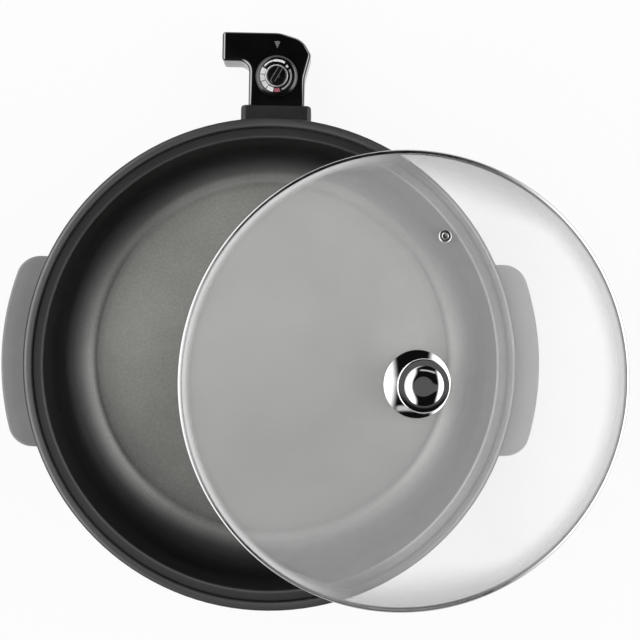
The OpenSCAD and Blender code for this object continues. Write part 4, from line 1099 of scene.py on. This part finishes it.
def make_dial_ring():
    """The satin ring on the dial's face."""
    inner, outer = DIAL_RING
    edge = DIAL_RING_H / 2
    top = DIAL_FACE_Z + DIAL_RING_H
    bm = turned(SMALL_DIAL_STEPS, (inner, DIAL_FACE_Z), [
        (outer, DIAL_FACE_Z),
        (outer, DIAL_FACE_Z + edge),
        (outer - edge, DIAL_FACE_Z + edge, 90, DIAL_RING_STEPS),
        (inner + DIAL_RING_EDGE, top),
        (inner, top - DIAL_RING_EDGE),
    ])
    new_piece("dial_bezel", bm, "dial", "polished_steel", ["dial_ring"], AT_DIAL, "satin_ring")


def make_dial_grip():
    """The hub and the finger bar that leans across it."""
    hub = DIAL_FACE_Z + DIAL_HUB_H
    bm = turned(SMALL_DIAL_STEPS, (0, DIAL_FACE_Z), [
        (DIAL_GRIP_R, DIAL_FACE_Z),
        (DIAL_GRIP_R, hub - DIAL_HUB_EDGE),
        (DIAL_GRIP_R - DIAL_HUB_EDGE, hub - DIAL_HUB_EDGE, 90, SMALL_ARC),
        (0, hub),
    ])
    bar = bmesh.new()
    half = DIAL_BAR_W / 2
    base = hub - DIAL_BAR_SINK
    top = hub + DIAL_BAR_H
    corners = [(*corner, half * DIAL_BAR_ROUND) for corner in oblong(DIAL_BAR_REACH, -half, half)]
    raised(bar, [rounded_face(bar, corners, base)], top - base)
    bevel(bar, edges_at(bar, top), DIAL_BAR_EDGE, "EDGES", DIAL_BAR_EDGE_STEPS)
    tidy(bar)
    bmesh.ops.rotate(bar, cent=(0, 0, 0), matrix=Matrix.Rotation(DIAL_BAR_TURN, 3, "Z"), verts=bar.verts)
    shape = meshed("bar", bar)
    bm.from_mesh(shape)
    bpy.data.meshes.remove(shape)
    evened(new_piece("dial_handle", bm, "dial", "dial_plastic", ["dial_grip"], AT_DIAL))


# The printed scale by colour: start and end in degrees, inner and outer radius
MARKS = {
    "white": [
        (149, 173, 10.4, 14.5), (176, 200, 10.4, 14.5), (203, 229, 10.5, 14.5), (232, 258, 10.7, 14.5),
        (100, 142, 13.0, 14.2), (59, 100, 12.5, 14.4), (38, 48, 11.4, 13.2),
    ],
    "grey": [(-68, 28, 11.9, 13.4)],
    "red": [(262, 284, 10.9, 14.2)],
}


def make_marks(colour, marks):
    """Raised printing on the dial's face, each mark a short arc."""
    bm = bmesh.new()
    top = DIAL_FACE_Z + PRINT_H
    for start, end, inner, outer in marks:
        edge = bm.edges.new((bm.verts.new((inner, 0, top)), bm.verts.new((outer, 0, top))))
        turn = Matrix.Rotation(radians(start), 3, "Z")
        bmesh.ops.rotate(bm, cent=(0, 0, 0), matrix=turn, verts=edge.verts)
        geom = [edge, *edge.verts]
        sweep = end - start
        steps = max(ARC_LEAST, ceil(sweep / PRINT_STEP))
        bmesh.ops.spin(bm, geom=geom, cent=(0, 0, 0), axis=PLAN, angle=radians(sweep), steps=steps)
    raised(bm, bm.faces[:], -PRINT_H - PRINT_SINK)
    new_piece(colour + "_scale", bm, "dial", "dial_plastic", (), AT_DIAL, colour + "_print")


# Lid pieces


def polar(radius, angle):
    """A point of the dome's profile."""
    return (radius * sin(angle), radius * cos(angle))


def make_glass():
    """The domed glass, with holes for the knob's screw and the steam vent."""
    inner = asin(KNOB_HOLE_R / DOME_IN)
    outer = asin(KNOB_HOLE_R / DOME_OUT)
    bm = turned(ROUND_STEPS, polar(DOME_IN, inner), [
        (0, 0, degrees(inner - EDGE_ANGLE), GLASS_STEPS),
        polar(DOME_OUT, EDGE_ANGLE),
        (0, 0, degrees(EDGE_ANGLE - outer), GLASS_STEPS),
    ])
    glass = new_piece("glass_dome", bm, "lid", "lid_glass", ["lid_glass"], LID_POSE, crease=GLASS_CREASE)
    drill_vent_hole(glass)


def drill_vent_hole(glass):
    """Cuts the hole for the steam vent through the glass."""
    drill = bmesh.new()
    radius = VENT_TUBE_R + VENT_HOLE_ROOM
    bmesh.ops.create_cone(
        drill, cap_ends=True, segments=DRILL_STEPS, radius1=radius, radius2=radius, depth=DRILL_LEN
    )
    bmesh.ops.translate(drill, vec=(0, 0, (DOME_IN + DOME_OUT) / 2), verts=drill.verts)
    bmesh.ops.transform(drill, matrix=VENT_POSE, verts=drill.verts)
    bmesh.ops.scale(drill, vec=(MM, MM, MM), verts=drill.verts)
    shape = meshed("drill", drill)
    tool = added("drill", shape)
    cut = glass.modifiers.new("vent_hole", "BOOLEAN")
    cut.object = tool
    cut.operation = "DIFFERENCE"
    cut.solver = "EXACT"
    bpy.context.view_layer.update()
    drilled = bpy.data.meshes.new_from_object(glass.evaluated_get(bpy.context.evaluated_depsgraph_get()))
    glass.modifiers.clear()
    glass.data = drilled
    bpy.data.objects.remove(tool)
    bpy.data.meshes.remove(shape)


def make_rim_light():
    """A thin sheet on the glass along its edge, which carries the painted glow and shade."""
    start = EDGE_ANGLE - RIM_LIGHT_W / DOME_R
    low = DOME_OUT + RIM_LIGHT_GAP
    high = low + RIM_LIGHT_GAP
    bm = turned(RIM_STEPS, polar(low, start), [
        (0, 0, degrees(start - EDGE_ANGLE), RIM_LIGHT_STEPS),
        polar(high, EDGE_ANGLE),
        (0, 0, degrees(EDGE_ANGLE - start), RIM_LIGHT_STEPS),
    ])
    new_piece("rim_light_and_shade", bm, "lid", "lid_glass", (), LID_POSE, "rim_light_and_shade")


def make_band():
    """The steel band folded round the edge of the glass."""
    bm = bmesh.new()
    lip = EDGE_ANGLE - BAND_LIP / DOME_R
    end = EDGE_ANGLE + (BAND_GAP + BAND_T) / DOME_R
    seat = EDGE_ANGLE + BAND_GAP / DOME_R
    close(bm, *draw(bm, polar(BAND_OUT - BAND_T, lip), [
        polar(BAND_OUT, lip),
        polar(BAND_OUT, end),
        polar(BAND_IN, end),
        polar(BAND_IN, lip),
        polar(BAND_IN + BAND_T, lip),
        polar(BAND_IN + BAND_T, seat),
        polar(BAND_OUT - BAND_T, seat),
    ]))
    outer = [point(*polar(radius, end), PROFILE) for radius in (BAND_IN, BAND_OUT)]
    corners = [vert for vert in bm.verts if any((vert.co - at).length < TINY for at in outer)]
    bevel(bm, corners, BAND_ROUND, "VERTICES", CORNER_STEPS)
    revolve(bm, RIM_STEPS)
    new_piece("rim_band", bm, "lid", "band_steel", ["lid_band"], LID_POSE)


def make_vent():
    """The steam vent's eyelet, with a flange on each side of the glass."""
    top = DOME_OUT + VENT_FLANGE_H
    base = DOME_IN - VENT_FLANGE_H
    bm = turned(SMALL_STEPS, (VENT_R, base), [
        (VENT_R, top - VENT_MOUTH_R),
        (VENT_R + VENT_MOUTH_R, top - VENT_MOUTH_R, -90, SMALL_ARC),
        (VENT_FLANGE_R - VENT_EDGE, top),
        (VENT_FLANGE_R - VENT_EDGE, top - VENT_EDGE_R, -VENT_EDGE_SWEEP, SMALL_ARC),
        (VENT_FLANGE_R, DOME_OUT),
        (VENT_TUBE_R, DOME_OUT),
        (VENT_TUBE_R, DOME_IN - VENT_ROOM),
        (VENT_FLANGE_R, DOME_IN - VENT_ROOM),
        (VENT_FLANGE_R - VENT_UNDER_EDGE, base),
    ])
    new_piece("steam_vent", bm, "lid", "polished_steel", ["vent_eyelet"], VENT_POSE, "vent_steel")


def make_knob_foot():
    """The knob's flared foot."""
    flare = KNOB_FOOT_H - KNOB_FLANGE_RISE
    top = KNOB_Z + KNOB_FOOT_H
    bm = turned(KNOB_STEPS, (KNOB_SCREW_R, KNOB_Z), [
        (KNOB_FOOT_R - KNOB_FOOT_EDGE, KNOB_Z),
        (KNOB_FOOT_R, KNOB_Z + KNOB_FOOT_EDGE),
        (KNOB_FOOT_R, KNOB_Z + KNOB_FLANGE_H),
        (KNOB_WAIST_R + flare, KNOB_Z + KNOB_FLANGE_RISE),
        (KNOB_WAIST_R + flare, top, -90, KNOB_FOOT_STEPS),
        (KNOB_SCREW_R, top),
    ])
    new_piece("knob_skirt", bm, "lid", "polished_steel", ["knob_foot"], LID_POSE)


def make_knob_grip():
    """The knob's top: a flared plate with a flat rim around a shallow dish."""
    base = KNOB_Z + KNOB_FOOT_H
    top = base + KNOB_GRIP_H
    flare = KNOB_GRIP_H - 2 * KNOB_RIM_R - KNOB_RIM_STEP
    rim = KNOB_TOP_R - KNOB_RIM_R
    run = KNOB_DISH_R - KNOB_DISH_FLAT
    bend = (run ** 2 + KNOB_DISH ** 2) / (2 * KNOB_DISH)
    bm = turned(KNOB_STEPS, (0, base + KNOB_SCREW_DEPTH), [
        (KNOB_SCREW_R, base + KNOB_SCREW_DEPTH),
        (KNOB_SCREW_R, base),
        (KNOB_WAIST_R, base),
        (KNOB_WAIST_R + flare, base, -90, KNOB_RIM_STEPS),
        (rim, top - 2 * KNOB_RIM_R),
        (rim, top - KNOB_RIM_R, 180, KNOB_RIM_STEPS),
        (KNOB_DISH_R, top),
        (KNOB_DISH_FLAT, top - KNOB_DISH + bend, -degrees(asin(run / bend)), KNOB_DISH_STEPS),
        (0, top - KNOB_DISH),
    ])
    new_piece("knob_top", bm, "lid", "polished_steel", ["knob_grip"], LID_POSE)


def make_pieces():
    """All pieces, body by body."""
    make_grip("right_grip", GRIP_TURN)
    make_grip("left_grip", pi - GRIP_TURN)
    for name, turn in FOOT_TURNS.items():
        make_foot(name, radians(turn))
    make_guard()
    make_control_cover()
    make_control_base()
    make_dial_skirt()
    make_dial_ring()
    make_dial_grip()
    for colour, marks in MARKS.items():
        make_marks(colour, marks)
    make_glass()
    make_rim_light()
    make_band()
    make_vent()
    make_knob_foot()
    make_knob_grip()


# Stage: sizes in metres
STAGE_HALF = 6
STAGE_DROP = 0.0004
STAGE_TONE = grey(0.82)
STAGE_WHITE = 0.92
CAMERA_AT = (0.0423, 0.0386, RIM_Z * MM + 1.2)
CAMERA_ROLL = radians(1.15)
CAMERA_LENS = 79.5

# Light by direction: from and to along an axis, then its level at each where that isn't 0 and 1
LEFT_PANEL = (-0.46, -0.18, 2.15, 0.0)
RIGHT_PANEL = (0.55, 0.82, 0.0, 2.9)
STRIP = (0.09, 0.16, 0.10, 0.005)
PATCH_START = (-0.76, -0.70)
PATCH_END = (-0.66, -0.60, 1.0, 0.0)
PATCH_MIDDLE = 0.15
PATCH_SIDES = (0.25, 0.40, 0.6, 0.0)
BACKDROP = (0.10, 0.30, 1.0, 0.0)


def make_floor():
    """A pale floor that shows white and keeps a soft shadow."""
    bm = bmesh.new()
    bmesh.ops.create_grid(bm, x_segments=1, y_segments=1, size=STAGE_HALF)
    bmesh.ops.translate(bm, vec=(0, 0, -STAGE_DROP), verts=bm.verts)
    material = bpy.data.materials.new("pale_floor")
    paint = fresh(material)
    light = paint.node("ShaderNodeLightPath").outputs
    seen = paint.math("MAXIMUM", light["Is Camera Ray"], light["Is Glossy Ray"])
    seen = paint.math("MAXIMUM", seen, light["Is Transmission Ray"])
    matt = paint.node("ShaderNodeBsdfDiffuse", {"Color": STAGE_TONE}).outputs[0]
    white = paint.node("ShaderNodeEmission", {"Color": grey(1.0), "Strength": 1.0}).outputs[0]
    share = paint.product(seen, STAGE_WHITE)
    both = paint.node("ShaderNodeMixShader", {0: share, 1: matt, 2: white}).outputs[0]
    paint.node("ShaderNodeOutputMaterial", {"Surface": both})
    mesh = meshed("floor", bm)
    mesh.materials.append(material)
    added("floor", mesh)


def make_studio():
    """Soft panels left and right, a dim strip overhead, a small patch in front and a white backdrop."""
    world = bpy.data.worlds.new("studio")
    bpy.context.scene.world = world
    paint = fresh(world)
    across, along, up = paint.parts(paint.node("ShaderNodeTexCoord").outputs["Generated"])
    panels = paint.math("ADD", paint.spread(across, *LEFT_PANEL), paint.spread(across, *RIGHT_PANEL))
    strip = paint.spread(paint.math("ABSOLUTE", along), *STRIP)
    aside = paint.math("ABSOLUTE", paint.math("SUBTRACT", across, PATCH_MIDDLE))
    patch = paint.product(
        paint.spread(along, *PATCH_START), paint.spread(along, *PATCH_END), paint.spread(aside, *PATCH_SIDES)
    )
    studio = paint.math("ADD", panels, paint.math("ADD", strip, patch))
    level = paint.blend(paint.spread(up, *BACKDROP), studio, 1.0)
    light = paint.node("ShaderNodeLightPath").outputs
    seen = paint.math("MAXIMUM", light["Is Camera Ray"], light["Is Transmission Ray"])
    strength = paint.blend(seen, level, 1.0)
    sky = paint.node("ShaderNodeBackground", {"Color": grey(1.0), "Strength": strength}).outputs[0]
    paint.node("ShaderNodeOutputWorld", {"Surface": sky})


def make_camera():
    """Straight above, with the control at the top of the picture."""
    data = bpy.data.cameras.new("camera")
    data.lens = CAMERA_LENS
    camera = added("camera", data)
    camera.location = CAMERA_AT
    camera.rotation_euler = (0, 0, CAMERA_ROLL)
    bpy.context.scene.camera = camera


make_camera()
make_studio()
make_floor()
paint_cad_nodes()
make_pieces()
bpy.context.scene.view_settings.view_transform = "Standard"
